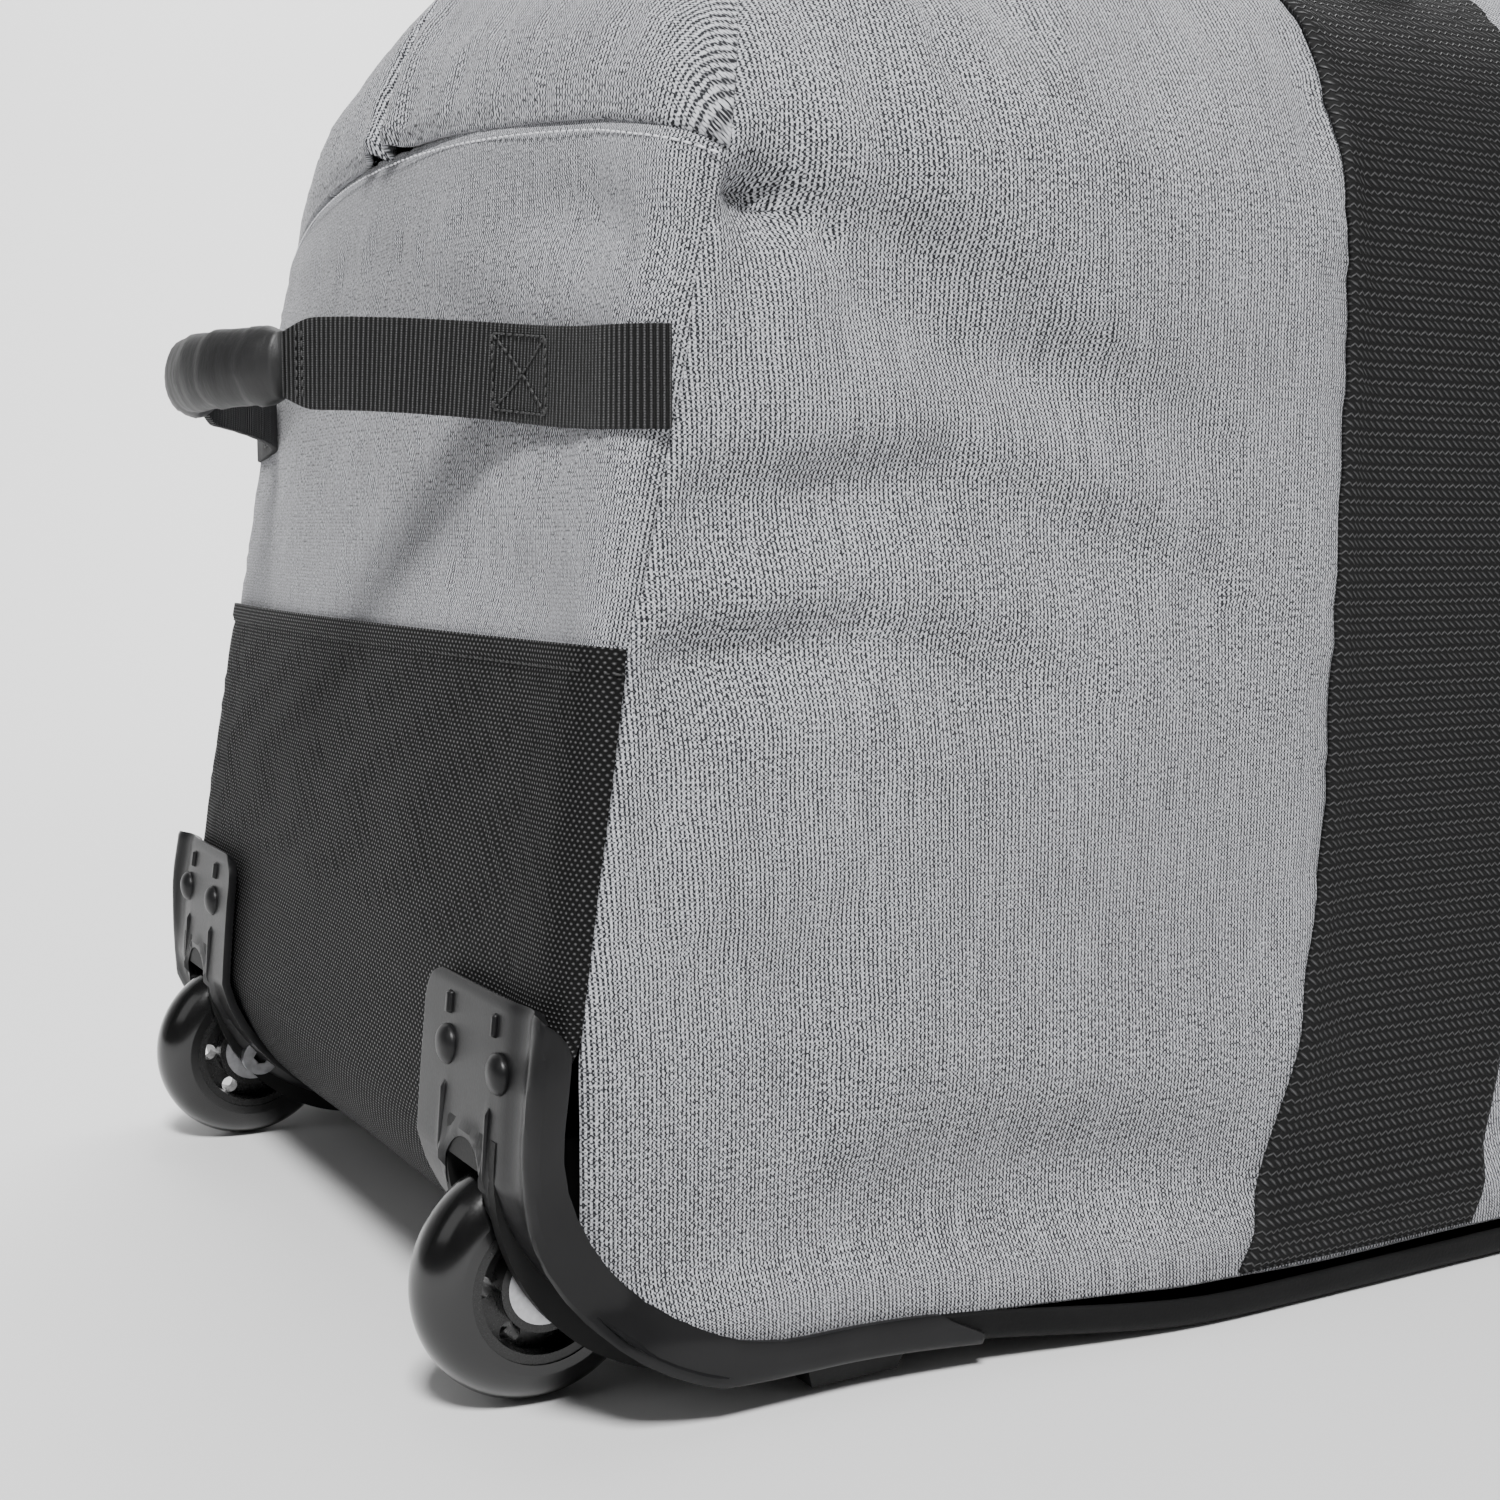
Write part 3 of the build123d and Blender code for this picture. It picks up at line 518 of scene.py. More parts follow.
def puffSkin(skin):  # the filled cloth presses out between its seams
    rest = [vert.co.copy() for vert in skin.data.vertices]
    held = skin.vertex_groups.new(name="held")
    for i, point in enumerate(rest):
        side = abs(abs(point.x) - seamX(point.z))
        grip = exp(-((side / skinStyle["seamHold"]) ** 2))
        grip = max(grip, exp(-((point.y / 0.012) ** 2)) if point.z > 0.36 else 0)
        for level in (0.21, 0.352):
            near = exp(-(((point.z - level) / 0.012) ** 2)) if abs(point.x) > seamX(point.z) else 0
            grip = max(grip, near)
        if point.z < 0.03 or (point.x < -0.28 and point.z < 0.125 and abs(point.x) > 0.34):
            grip = 1.0
        for middle in (-0.104, 0.104):
            grip = max(grip, 0.5 * exp(-(((point.x - middle) / 0.045) ** 4)))
        held.add([i], min(grip, 1.0), "REPLACE")
    cloth = skin.modifiers.new("filled", "CLOTH")
    rules = cloth.settings
    rules.vertex_group_mass = "held"
    rules.use_pressure, rules.uniform_pressure_force = True, skinStyle["pressure"]
    rules.effector_weights.gravity = 0
    rules.shrink_min = -0.012
    rules.quality, rules.mass = 4, 0.4
    rules.tension_stiffness = rules.compression_stiffness = 18
    rules.bending_stiffness = 0.6
    rules.pin_stiffness = 2.0
    scene = bpy.context.scene
    scene.frame_start, scene.frame_end = 1, skinStyle["frames"]
    for step in range(1, skinStyle["frames"] + 1):
        scene.frame_set(step)
    shape = bpy.data.meshes.new_from_object(skin.evaluated_get(bpy.context.evaluated_depsgraph_get()))
    moved = [vert.co.copy() for vert in shape.vertices]
    skin.modifiers.clear()
    scene.frame_set(1)
    for vert, start, end in zip(skin.data.vertices, rest, moved):
        step = end - start
        if step.length > skinStyle["cap"]:
            step *= skinStyle["cap"] / step.length
        vert.co = start + step
    bpy.data.meshes.remove(shape)


formSides, formHeart = formPlanes()


def formHit(start, way):  # where a line from outside meets the plain form, without the cloth's swelling
    origin = start - formHeart
    facing = [(n, reach) for n, reach in formSides if n.dot(way) < -1e-6]
    return start + way * max((reach - n.dot(origin)) / n.dot(way) for n, reach in facing)


def castForm(start, way):
    return settle(formHit(start, way))


skin = makeSkin()
puffSkin(skin)
skinTree = BVHTree.FromPolygons(
    [vert.co.copy() for vert in skin.data.vertices], [tuple(face.vertices) for face in skin.data.polygons]
)
bpy.data.objects.remove(skin)
print("skin ready")


def castFrom(start, way, settled=True):  # where a line from outside meets the skin, with the outward normal
    hit, normal, _, _ = skinTree.ray_cast(start, way)
    if hit is None:
        hit, normal, _, _ = skinTree.find_nearest(start + way * 0.1)
    if normal.dot(way) > 0:
        normal = -normal
    firm = 1 - smooth(0.045, 0.09, hit.z)  # the board and the guards hold the lowest part in shape
    if firm > 0:
        hit = hit.lerp(formHit(start, way), firm)
    return settle(hit) if settled else hit, normal


def sidePoint(sign, x, distance, settled=True):  # on the side or top, at a distance along the section
    y, z = section.point(distance)
    along = section.along(distance)
    out = Vector((0, sign * along[1], -along[0]))
    if out.z < -0.98:
        out = Vector((0, 0, -1))
    place = Vector((x, sign * y, z))
    hit, _ = castFrom(place + out * 0.1, -out, settled)
    return hit, out


def seamOnSide(end, distance):  # x of a corner seam at a distance along the section
    return end * seamX(section.point(distance)[1])


pivotY = 0.150  # on an end, casts turn round a line at this y, from this share of the way to the seam
pivotShare = 0.72


def endPoint(end, sign, distance, across, settled=True, plain=False):
    # on an end; across runs from 0 in the middle to 1 at the corner seam
    track = endTracks[end]
    x, z = track.point(distance)
    along = track.along(distance)
    out = Vector((along[1], 0, -along[0])) * end
    if out.x * end < 0:
        out = -out
    base = Vector((x, 0, z))
    inset = 0.011 + 0.003 * smooth(0.06, 0.12, z) + 0.0004 * max(-out.z, 0.0) ** 2
    corner = base - out * inset
    if across <= pivotShare:
        y = across / pivotShare * pivotY
        start = base + Vector((0, sign * y, 0)) + out * 0.08
        return castForm(start, -out) if plain else castFrom(start, -out, settled)[0], out
    seam = skinTree.ray_cast(Vector((corner.x, sign * 0.4, corner.z)), Vector((0, -sign, 0)))[0]
    pivot = base - out * 0.055 + Vector((0, sign * pivotY, 0))
    toSeam = seam - pivot
    limit = atan2(toSeam.y * sign, toSeam.dot(out))
    turn = limit * (across - pivotShare) / (1 - pivotShare)
    way = out * cos(turn) + Vector((0, sign, 0)) * sin(turn)
    return castForm(pivot + way * 0.2, -way) if plain else castFrom(pivot + way * 0.2, -way, settled)[0], way


def spaced(length, step, fine=(0.0007, 0.0018, 0.0032, 0.005, 0.0074, 0.0105)):
    inner = length - 2 * fine[-1]
    count = max(2, round(inner / step))
    middle = [fine[-1] + inner * i / count for i in range(count + 1)]
    return [0.0, *fine[:-1], *middle, *[length - f for f in reversed(fine[:-1])], length]


def addPiece(name, bm, finish, body="bag"):
    mesh = bpy.data.meshes.new(name)
    bm.to_mesh(mesh)
    bm.free()
    piece = bpy.data.objects.new(name, mesh)
    bpy.context.scene.collection.objects.link(piece)
    mesh.materials.append(finishes[finish])
    for face in mesh.polygons:
        face.use_smooth = True
    if body:
        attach(piece, body)
    return piece


def gridOver(columns, rows):  # a grid whose points each know their column and row
    bm = bmesh.new()
    nx, ny = len(columns) - 1, len(rows) - 1
    bmesh.ops.create_grid(bm, x_segments=nx, y_segments=ny, size=0.5)
    spot = {v: (columns[round((v.co.x + 0.5) * nx)], rows[round((v.co.y + 0.5) * ny)]) for v in bm.verts}
    return bm, spot


def markCloth(bm, spot, unroll=None):  # UVs in metres
    layer = bm.loops.layers.uv.new("cloth")
    for face in bm.faces:
        for loop in face.loops:
            u, v = spot[loop.vert]
            loop[layer].uv = unroll(u, v, loop.vert.co) if unroll else (u, v)


def clothGrid(
    name, columns, rows, place, finish, thick=0.0018, flip=False, hole=None, unroll=None
):  # a sheet over the skin: place(u, v) gives a point
    bm, spot = gridOver(columns, rows)
    for vert, (u, v) in spot.items():
        vert.co = place(u, v)
    markCloth(bm, spot, unroll)
    if hole:
        gone = [face for face in bm.faces if hole(face.calc_center_median())]
        bmesh.ops.delete(bm, geom=gone, context="FACES")
    if flip:
        bmesh.ops.reverse_faces(bm, faces=bm.faces[:])
    piece = addPiece(name, bm, finish, "bag")
    wall = piece.modifiers.new("wall", "SOLIDIFY")
    wall.thickness, wall.offset = thick, -1
    return piece


def tuck(distance, depth=0.0022, width=0.0032):  # cloth rolls in at a seam
    return -depth * exp(-((distance / width) ** 2))


def tubeInto(bm, points, radii, around=6):  # a round rod along points
    rings = []
    for i, (point, radius) in enumerate(zip(points, radii)):
        along = (points[min(i + 1, len(points) - 1)] - points[max(i - 1, 0)]).normalized()
        side = along.cross(Vector((0.13, 0.09, 1)) if abs(along.z) < 0.9 else Vector((1, 0, 0))).normalized()
        up = side.cross(along)
        angles = [2 * pi * k / around for k in range(around)]
        rings.append([bm.verts.new(point + (side * cos(a) + up * sin(a)) * radius) for a in angles])
    for low, high in zip(rings, rings[1:]):
        for k in range(around):
            bm.faces.new((low[k], low[(k + 1) % around], high[(k + 1) % around], high[k]))
    bm.faces.new(list(reversed(rings[0])))
    bm.faces.new(rings[-1])


def stitchRow(bm, read, length, pitch=0.0034, dash=0.0023, radius=0.00034):
    # read(distance) gives a point on the cloth
    count = int(length / pitch)
    for i in range(count):
        start = (i + 0.15) * length / count
        line = [read(start + dash * t) for t in (0.0, 0.25, 0.75, 1.0)]
        tubeInto(bm, line, [radius * 0.4, radius, radius, radius * 0.4])


def boxAndCross(left, right, low, high):  # the straight runs of a box with its diagonals
    corners = [(left, low), (right, low), (right, high), (left, high)]
    crossed = [(corners[0], corners[2]), (corners[1], corners[3])]
    return list(zip(corners, corners[1:] + corners[:1])) + crossed


def stitchRuns(bm, runs, read, pitch, dash):  # read(across, up) gives a point on the webbing
    for a, b in runs:
        length = sqrt((a[0] - b[0]) ** 2 + (a[1] - b[1]) ** 2)

        def along(distance):
            t = distance / length
            return read(a[0] + (b[0] - a[0]) * t, a[1] + (b[1] - a[1]) * t)

        stitchRow(bm, along, length, pitch, dash, 0.0004)


def stitchPiece(name, bm, finish, body="bag"):
    bmesh.ops.recalc_face_normals(bm, faces=bm.faces[:])
    return addPiece(name, bm, finish, body)


# side panels
foldScale = 3.2
folds = [  # each soft crease's line, x and z in metres, its width and its share of depth
    {"start": (-0.385, 0.338), "end": (-0.345, 0.322), "width": 0.007, "depth": 0.0035},
    {"start": (-0.360, 0.330), "end": (-0.270, 0.300), "width": 0.020, "depth": 0.0040},
    {"start": (-0.330, 0.300), "end": (-0.215, 0.272), "width": 0.016, "depth": 0.0022},
    {"start": (-0.395, 0.245), "end": (-0.300, 0.256), "width": 0.015, "depth": 0.0030},
    {"start": (-0.300, 0.256), "end": (-0.210, 0.225), "width": 0.018, "depth": 0.0022},
    {"start": (-0.398, 0.205), "end": (-0.330, 0.212), "width": 0.013, "depth": 0.0032},
    {"start": (-0.330, 0.212), "end": (-0.255, 0.195), "width": 0.016, "depth": 0.0016},
    {"start": (-0.400, 0.175), "end": (-0.330, 0.170), "width": 0.022, "depth": 0.0012},
    {"start": (-0.300, 0.060), "end": (-0.200, 0.045), "width": 0.026, "depth": 0.0018},
]


def foldDepth(x, z):
    total = 0.0
    for fold in folds:
        a, b = Vector(fold["start"]), Vector(fold["end"])
        line = b - a
        t = min(max((Vector((x, z)) - a).dot(line) / line.length_squared, 0.0), 1.0)
        away = (Vector((x, z)) - a - line * t).length
        above = line.x * (z - a.y) - line.y * (x - a.x) > 0
        away /= 0.62 if above else 1.25  # the cloth drops steeply into a crease and comes out gently
        taper = sin(pi * min(max(t, 0.12), 0.88)) ** 0.7
        total += foldScale * fold["depth"] * taper * exp(-((away / fold["width"]) ** 2))
    return total


def softness(place, scale, size):
    return noise.noise(place * scale) * size


def sidePanel(name, sign, node):
    low = section.where(1, 0.016)
    high = section.length - 0.0032
    span = high - low
    width = 0.79
    columns = [c / width for c in spaced(width, 0.0055)]
    rows = [low + r for r in spaced(span, 0.0055)]

    def place(u, v):
        left, right = seamOnSide(-1, v), seamOnSide(1, v)
        x = left + (right - left) * u
        hit, out = sidePoint(sign, x, v)
        edge = min(u, 1 - u) * width
        lift = tuck(edge) + tuck(v - low, 0.001) + tuck(high - v, 0.0012, 0.004)
        fade = smooth(0.0, 0.012, edge)
        mirrored = x if sign < 0 else -x
        lift -= foldDepth(mirrored, hit.z) * (0.35 + 0.65 * fade)
        lift -= foldDepth(-mirrored, hit.z) * 0.5 * fade
        pucker = noise.noise(Vector((0, hit.z * 55, sign * 3.0))) * 0.0012 * exp(-edge / 0.018)
        lift += pucker + softness(Vector((x, hit.z, sign)), 11, 0.0016) * fade
        return hit + out * lift

    piece = clothGrid(
        name, columns, rows, place, "grey_fabric", flip=sign > 0, unroll=lambda u, v, point: (point.x, v)
    )
    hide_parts(node)
    return piece


sidePanel("frontSidePanel", -1, "side_panel_front")
sidePanel("rearSidePanel", 1, "side_panel_rear")
print("side panels made")


# end panels and kick panels
endWidth = 0.43
kickLevel = 0.2095


def endColumns(step):
    return [c / endWidth * 2 - 1 for c in spaced(endWidth, step)]


def archedTop(across):  # the seam above an end panel rises towards the zip
    return 0.361 - 0.017 * across**2


dents = [
    {"y": -0.135, "z": 0.325, "wide": 0.055, "tall": 0.012, "depth": 0.004},
    {"y": -0.12, "z": 0.225, "wide": 0.06, "tall": 0.014, "depth": 0.003},
]


def endPanel(name, end, node):
    track = endTracks[end]
    low = track.where(1, kickLevel)
    columns = endColumns(0.0055)
    span = track.where(1, 0.361) - low
    rows = [r / span for r in spaced(span, 0.0055)]

    def place(u, v):
        high = track.where(1, archedTop(u))
        distance = low + (high - low) * v
        hit, out = endPoint(end, 1 if u > 0 else -1, distance, abs(u))
        edge = (1 - abs(u)) * endWidth / 2
        lift = tuck(edge) + tuck((1 - v) * span, 0.0016, 0.003)
        lift += softness(Vector((hit.y, hit.z, 5 * end)), 13, 0.0016) * smooth(0, 0.015, edge)
        near = hit.y * (1 if end < 0 else -1)
        for dent in dents:
            sideways = near - dent["y"]
            away = (sideways / dent["wide"]) ** 2
            away += ((hit.z - dent["z"] - sideways * 0.25) / dent["tall"]) ** 2
            lift -= dent["depth"] * exp(-away)
        return hit + out * lift

    def unroll(u, v, point):
        return u * endWidth / 2, low + (track.where(1, archedTop(u)) - low) * v

    piece = clothGrid(name, columns, rows, place, "grey_fabric", flip=end < 0, unroll=unroll)
    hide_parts(node)
    return piece


endPanel("wheelEndPanel", -1, "wheel_end_panel")
endPanel("towEndPanel", 1, "tow_end_panel")


def kickPanel(name, end, node):
    track = endTracks[end]
    first = 0.325 if end < 0 else 0.373
    low = track.where(0, end * first)
    high = track.where(1, kickLevel + 0.0015)
    columns = endColumns(0.006)
    rows = [low + r for r in spaced(high - low, 0.005)]

    def place(u, v):
        z = track.point(v)[1]
        under = 0.03 * (1 - smooth(0.098, 0.110, z)) if end < 0 else 0.0
        hit, out = endPoint(end, 1 if u > 0 else -1, v, abs(u) * (1 - under))
        edge = (1 - abs(u)) * endWidth / 2
        lift = 0.0012 + tuck(edge, 0.0012)
        fromTop = high - v
        lift += 0.0010 * (1 - smooth(0.0055, 0.0075, fromTop))  # the folded hem
        lift -= 0.0009 * exp(-(((fromTop - 0.0066) / 0.0009) ** 2))
        lift += 0.0010 * softness(Vector((hit.y, hit.z, 2)), 12, 1.0)
        return hit + out * lift

    def hole(centre):
        if end < 0:
            return 0.122 < abs(centre.y) < 0.168 and centre.x < -0.362 and centre.z < 0.084
        return centre.x > 0.39 and abs(centre.y) < 0.136 and centre.z < 0.054

    piece = clothGrid(
        name, columns, rows, place, "black_fabric", flip=end < 0, hole=hole,
        unroll=lambda u, v, point: (u * endWidth / 2, v),
    )
    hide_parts(node)
    return piece


kickPanel("wheelEndKickPanel", -1, "kick_panel")
kickPanel("towEndKickPanel", 1, "tow_end_kick_panel")
print("end panels made")


# upper end pieces, either side of the zip
def gusset(name, end, sign, node):
    track = endTracks[end]
    slit = 0.0042
    across = 0.21
    tall = 0.13
    columns = [c / across for c in spaced(across, 0.0055)]
    rows = [r / tall * 0.985 for r in spaced(tall, 0.0055)]
    bottom = track.where(1, archedTop(0) - 0.0005)
    topX = track.where(0, end * 0.3405, 0.6)
    sectionLow, sectionHigh = section.where(1, archedTop(1) - 0.0005), section.length - slit
    heart = Vector((end * 0.22, 0, 0.25))

    def inner(v):
        x, z = track.point(bottom + (topX - bottom) * v)
        gape = slit + 0.0035 * exp(-(((v - 0.34) / 0.22) ** 2))
        start = Vector((x + end * 0.06, sign * gape, z + 0.06))
        return castFrom(start, Vector((-end, 0, -1)).normalized(), False)[0]

    def outer(v):
        distance = sectionLow + (sectionHigh - sectionLow) * v**0.8
        return sidePoint(sign, seamOnSide(end, distance), distance, False)[0]

    def lower(u):
        return endPoint(end, sign, track.where(1, archedTop(u) - 0.0005), u, False)[0]

    def place(u, v):  # a patch between the arched seam, the slit and the corner seam
        point = lower(u) * (1 - v) + inner(v) * (1 - u) + outer(v) * u
        point -= (inner(0) * (1 - u) + outer(0) * u) * (1 - v)
        way = (point - Vector((heart.x, point.y * 0.8, heart.z))).normalized()
        hit, _ = castFrom(point + way * 0.12, -way)
        edge = (1 - u) * across * (1 - v)
        slitEdge = u * across * (1 - 0.5 * v)
        lift = tuck(edge) + 0.0016 - 0.0022 * exp(-((v * tall / 0.004) ** 2))
        lift += 0.0010 * exp(-(((v * tall - 0.0032) / 0.0024) ** 2))
        lift += 0.0045 * exp(-(((slitEdge - 0.009) / 0.008) ** 2)) * (1 - v)
        lift -= 0.004 * exp(-((slitEdge / 0.004) ** 2))
        lift += softness(Vector((hit.y, hit.z, 7 * end + sign)), 14, 0.0016) * smooth(0, 0.02, edge)
        return hit + way * lift

    def unroll(u, v, point):
        return point.y, 0.72 * (0.391 - abs(point.x) + point.z)

    piece = clothGrid(name, columns, rows, place, "grey_fabric", flip=(end * sign) < 0, unroll=unroll)
    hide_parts(node)
    return piece


for end, endName in ((-1, "wheel"), (1, "tow")):
    for sign, sideName in ((-1, "front"), (1, "rear")):
        gusset(f"{endName}EndGusset{sideName.title()}", end, sign, f"{endName}_end_gusset_{sideName}")


def endStitches(name, end, level, inset, finish, lift):
    track = endTracks[end]
    bm = bmesh.new()
    half = 0.19

    def read(distance):
        across = distance / half - 1
        hit, out = endPoint(end, 1 if across > 0 else -1, track.where(1, level(across)) - inset, abs(across))
        return hit + out * lift

    stitchRow(bm, read, 2 * half)
    stitchPiece(name, bm, finish)


for end, endName in ((-1, "wheelEnd"), (1, "towEnd")):
    endStitches(f"{endName}ArchStitches", end, archedTop, 0.0042, "greyThread", 0.0004)
    endStitches(
        f"{endName}KickStitches", end, lambda across: kickLevel, 0.0052, "thread", 0.0010
    )
print("gussets made")


# base panel
def basePanel():
    half = section.where(1, 0.0175)
    length = 0.700
    columns = spaced(length, 0.012)
    rows = [r - half for r in spaced(2 * half, 0.012)]

    def place(u, v):
        x = -0.3255 + u
        sign = 1 if v > 0 else -1
        hit, out = sidePoint(sign, x, abs(v))
        reach = smooth(-0.30, -0.18, x) * (1 - smooth(0.20, 0.33, x)) * smooth(0.13, 0.168, abs(v))
        return hit + out * (0.0012 + 0.0030 * reach) - Vector((0, 0, 0.0012 * reach))

    piece = clothGrid("basePanelCloth", columns, rows, place, "baseCloth", flip=True)
    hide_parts("base_panel")


basePanel()


# wide webbing bands
bandStyle = {
    "inner": 0.054, "width": 0.100, "thick": 0.0018, "bottom": 0.0185, "sweep": 0.040, "sweepFrom": 0.160,
}


def bandShift(z):  # low down the bands sweep towards the ends
    t = max(bandStyle["sweepFrom"] - z, 0.0) / (bandStyle["sweepFrom"] - bandStyle["bottom"])
    return bandStyle["sweep"] * t**1.9


def band(name, end, sign, node):
    low = section.where(1, bandStyle["bottom"])
    high = section.length - 0.0145
    width = bandStyle["width"]
    columns = spaced(width, 0.005, (0.0008, 0.002, 0.0045))
    rows = [low + r for r in spaced(high - low, 0.005, (0.0008, 0.002, 0.0045))]

    def place(u, v):
        z = section.point(v)[1]
        wave = 0.0016 * noise.noise(Vector((end, sign * 2, v * 16)))
        x = end * (bandStyle["inner"] + u + bandShift(z) + wave)
        hit, out = sidePoint(sign, x, v)
        edge = min(u, width - u, v - low, high - v)
        mirrored = x if sign < 0 else -x
        lift = bandStyle["thick"] + 0.0010 + tuck(edge, 0.0012, 0.0014)
        lift -= foldDepth(mirrored, hit.z) * 0.25
        lift += 0.0007 * exp(-(((edge - 0.004) / 0.0018) ** 2))
        return hit + out * lift

    piece = clothGrid(
        name, columns, rows, place, "band", bandStyle["thick"], flip=(end * sign) > 0
    )
    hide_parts(node)
    high - low
    return piece


for end, endName in ((-1, "wheel"), (1, "tow")):
    for sign, sideName in ((-1, "front"), (1, "rear")):
        band(f"{endName}EndBand{sideName.title()}", end, sign, f"band_{endName}_end_{sideName}")
print("bands made")


# grab handles
def ribbon(name, path, across, width, thick, finish, replaced):
    # webbing along a path; across gives its share of the width and its broad direction at each point
    track = Track(path)
    bm, spot = gridOver(
        spaced(track.length, 0.003, (0.001, 0.0025)), spaced(width, 0.003, (0.0008, 0.002))
    )
    markCloth(bm, spot)
    for vert, (u, v) in spot.items():
        at, along = track.point(u), track.along(u)
        share, broad = across(u / track.length)
        broad = (broad - along * broad.dot(along)).normalized()
        vert.co = at + broad * (v / width - 0.5) * width * share
    piece = addPiece(name, bm, finish)
    wall = piece.modifiers.new("wall", "SOLIDIFY")
    wall.thickness, wall.offset = thick, 0
    soft = piece.modifiers.new("soft", "BEVEL")
    soft.width, soft.segments, soft.limit_method = 0.0005, 2, "ANGLE"
    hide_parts(replaced)
    return track


grabStyle = {
    "z": 0.280, "width": 0.027, "thick": 0.0026, "tip": 0.4525, "rise": 0.009, "gripHalf": 0.050,
    "narrow": 0.62, "leaves": 0.125, "box": (0.046, 0.071),
}


def grabPath(end):  # from the front corner seam, over the end panel, out round the fingers and back
    style = grabStyle
    points = []
    distance = endTracks[end].where(1, style["z"])
    steps = 34
    for i in range(steps + 1):
        hit, out = endPoint(end, -1, distance, 0.995 * (1 - i / steps))
        on = hit + out * 0.0024
        loop = smooth(0.0, 1.0, min(max(1 - abs(on.y) / style["leaves"], 0.0) * 1.04, 1.0)) ** 0.9
        rise = style["rise"] * (1 - smooth(0.05, 0.17, abs(on.y)))
        points.append(Vector((on.x + (end * style["tip"] - on.x) * loop, on.y, style["z"] + rise)))
    return points + [Vector((p.x, -p.y, p.z)) for p in reversed(points[:-1])]


def grabHandle(end, endName, short):
    style = grabStyle
    path = grabPath(end)
    length = Track(path).length

    def broadness(t):
        middle = abs(t - 0.5) * length
        wide = smooth(style["gripHalf"] - 0.006, style["gripHalf"] + 0.012, middle)
        return style["narrow"] + (1 - style["narrow"]) * wide, Vector((0, 0, 1))

    track = ribbon(
        f"{short}GrabStrap", path, broadness, style["width"], style["thick"], "webbing",
        f"grab_handle_strap_{endName}",
    )

    def onStrap(distance, height):
        at, along = track.point(distance), track.along(distance)
        out = along.cross(Vector((0, 0, 1)))
        if out.x * end < 0:
            out = -out
        return at + Vector((0, 0, height)) + out.normalized() * (style["thick"] / 2 + 0.0003)

    bm = bmesh.new()
    bars = track.length / 2 - style["gripHalf"] - 0.008
    runs = boxAndCross(*style["box"], -0.0105, 0.0105)
    runs += [((bars + step, -0.010), (bars + step, 0.010)) for step in (0.0, 0.0022)]
    stitchRuns(bm, runs, onStrap, 0.0026, 0.0020)
    stitchRuns(bm, runs, lambda distance, height: onStrap(track.length - distance, height), 0.0026, 0.0020)
    stitchPiece(f"{short}GrabStitches", bm, "thread")

    up = Vector((0, 0, 1))

    def around(u, angle):
        distance = track.length / 2 + u * style["gripHalf"]
        at, along = track.point(distance), track.along(distance)
        out = along.cross(up).normalized()
        wrap = (u * 2.6 + cos(angle) * 0.10) % 1.0
        wrinkle = 0.0004 * noise.noise(Vector((u * 9, cos(angle) * 1.2, sin(angle) * 1.2))) + 0.0007 * wrap
        taper = 1 - 0.16 * smooth(0.86, 1.0, abs(u))
        tall, deep = 0.0115 * taper + wrinkle, 0.0068 * taper + wrinkle
        return at + up * sin(angle) * tall + out * cos(angle) * deep

    gripSleeve(f"{short}GrabSleeve", around, 60, 24, "bag", f"grab_handle_grip_{endName}")


def gripSleeve(name, around, rings, sides, body, node):  # around(u, angle) gives a point; u runs from -1 to 1
    bm = bmesh.new()
    bmesh.ops.create_grid(bm, x_segments=rings, y_segments=sides, size=0.5)
    for vert in bm.verts:
        vert.co = around(vert.co.x * 2, (vert.co.y + 0.5) * 2 * pi)
    bmesh.ops.remove_doubles(bm, verts=bm.verts[:], dist=0.00005)
    bmesh.ops.holes_fill(bm, edges=[edge for edge in bm.edges if edge.is_boundary])
    bmesh.ops.recalc_face_normals(bm, faces=bm.faces[:])
    sleeve = addPiece(name, bm, "grip_wrap", body)
    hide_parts(node)


grabHandle(-1, "wheel_end", "wheelEnd")
grabHandle(1, "tow_end", "towEnd")
print("grab handles made")


# carry handles
carryStyle = {"footX": 0.104, "pivot": (0.118, 0.439), "top": (0.016, 0.515), "width": 0.025, "thick": 0.003}


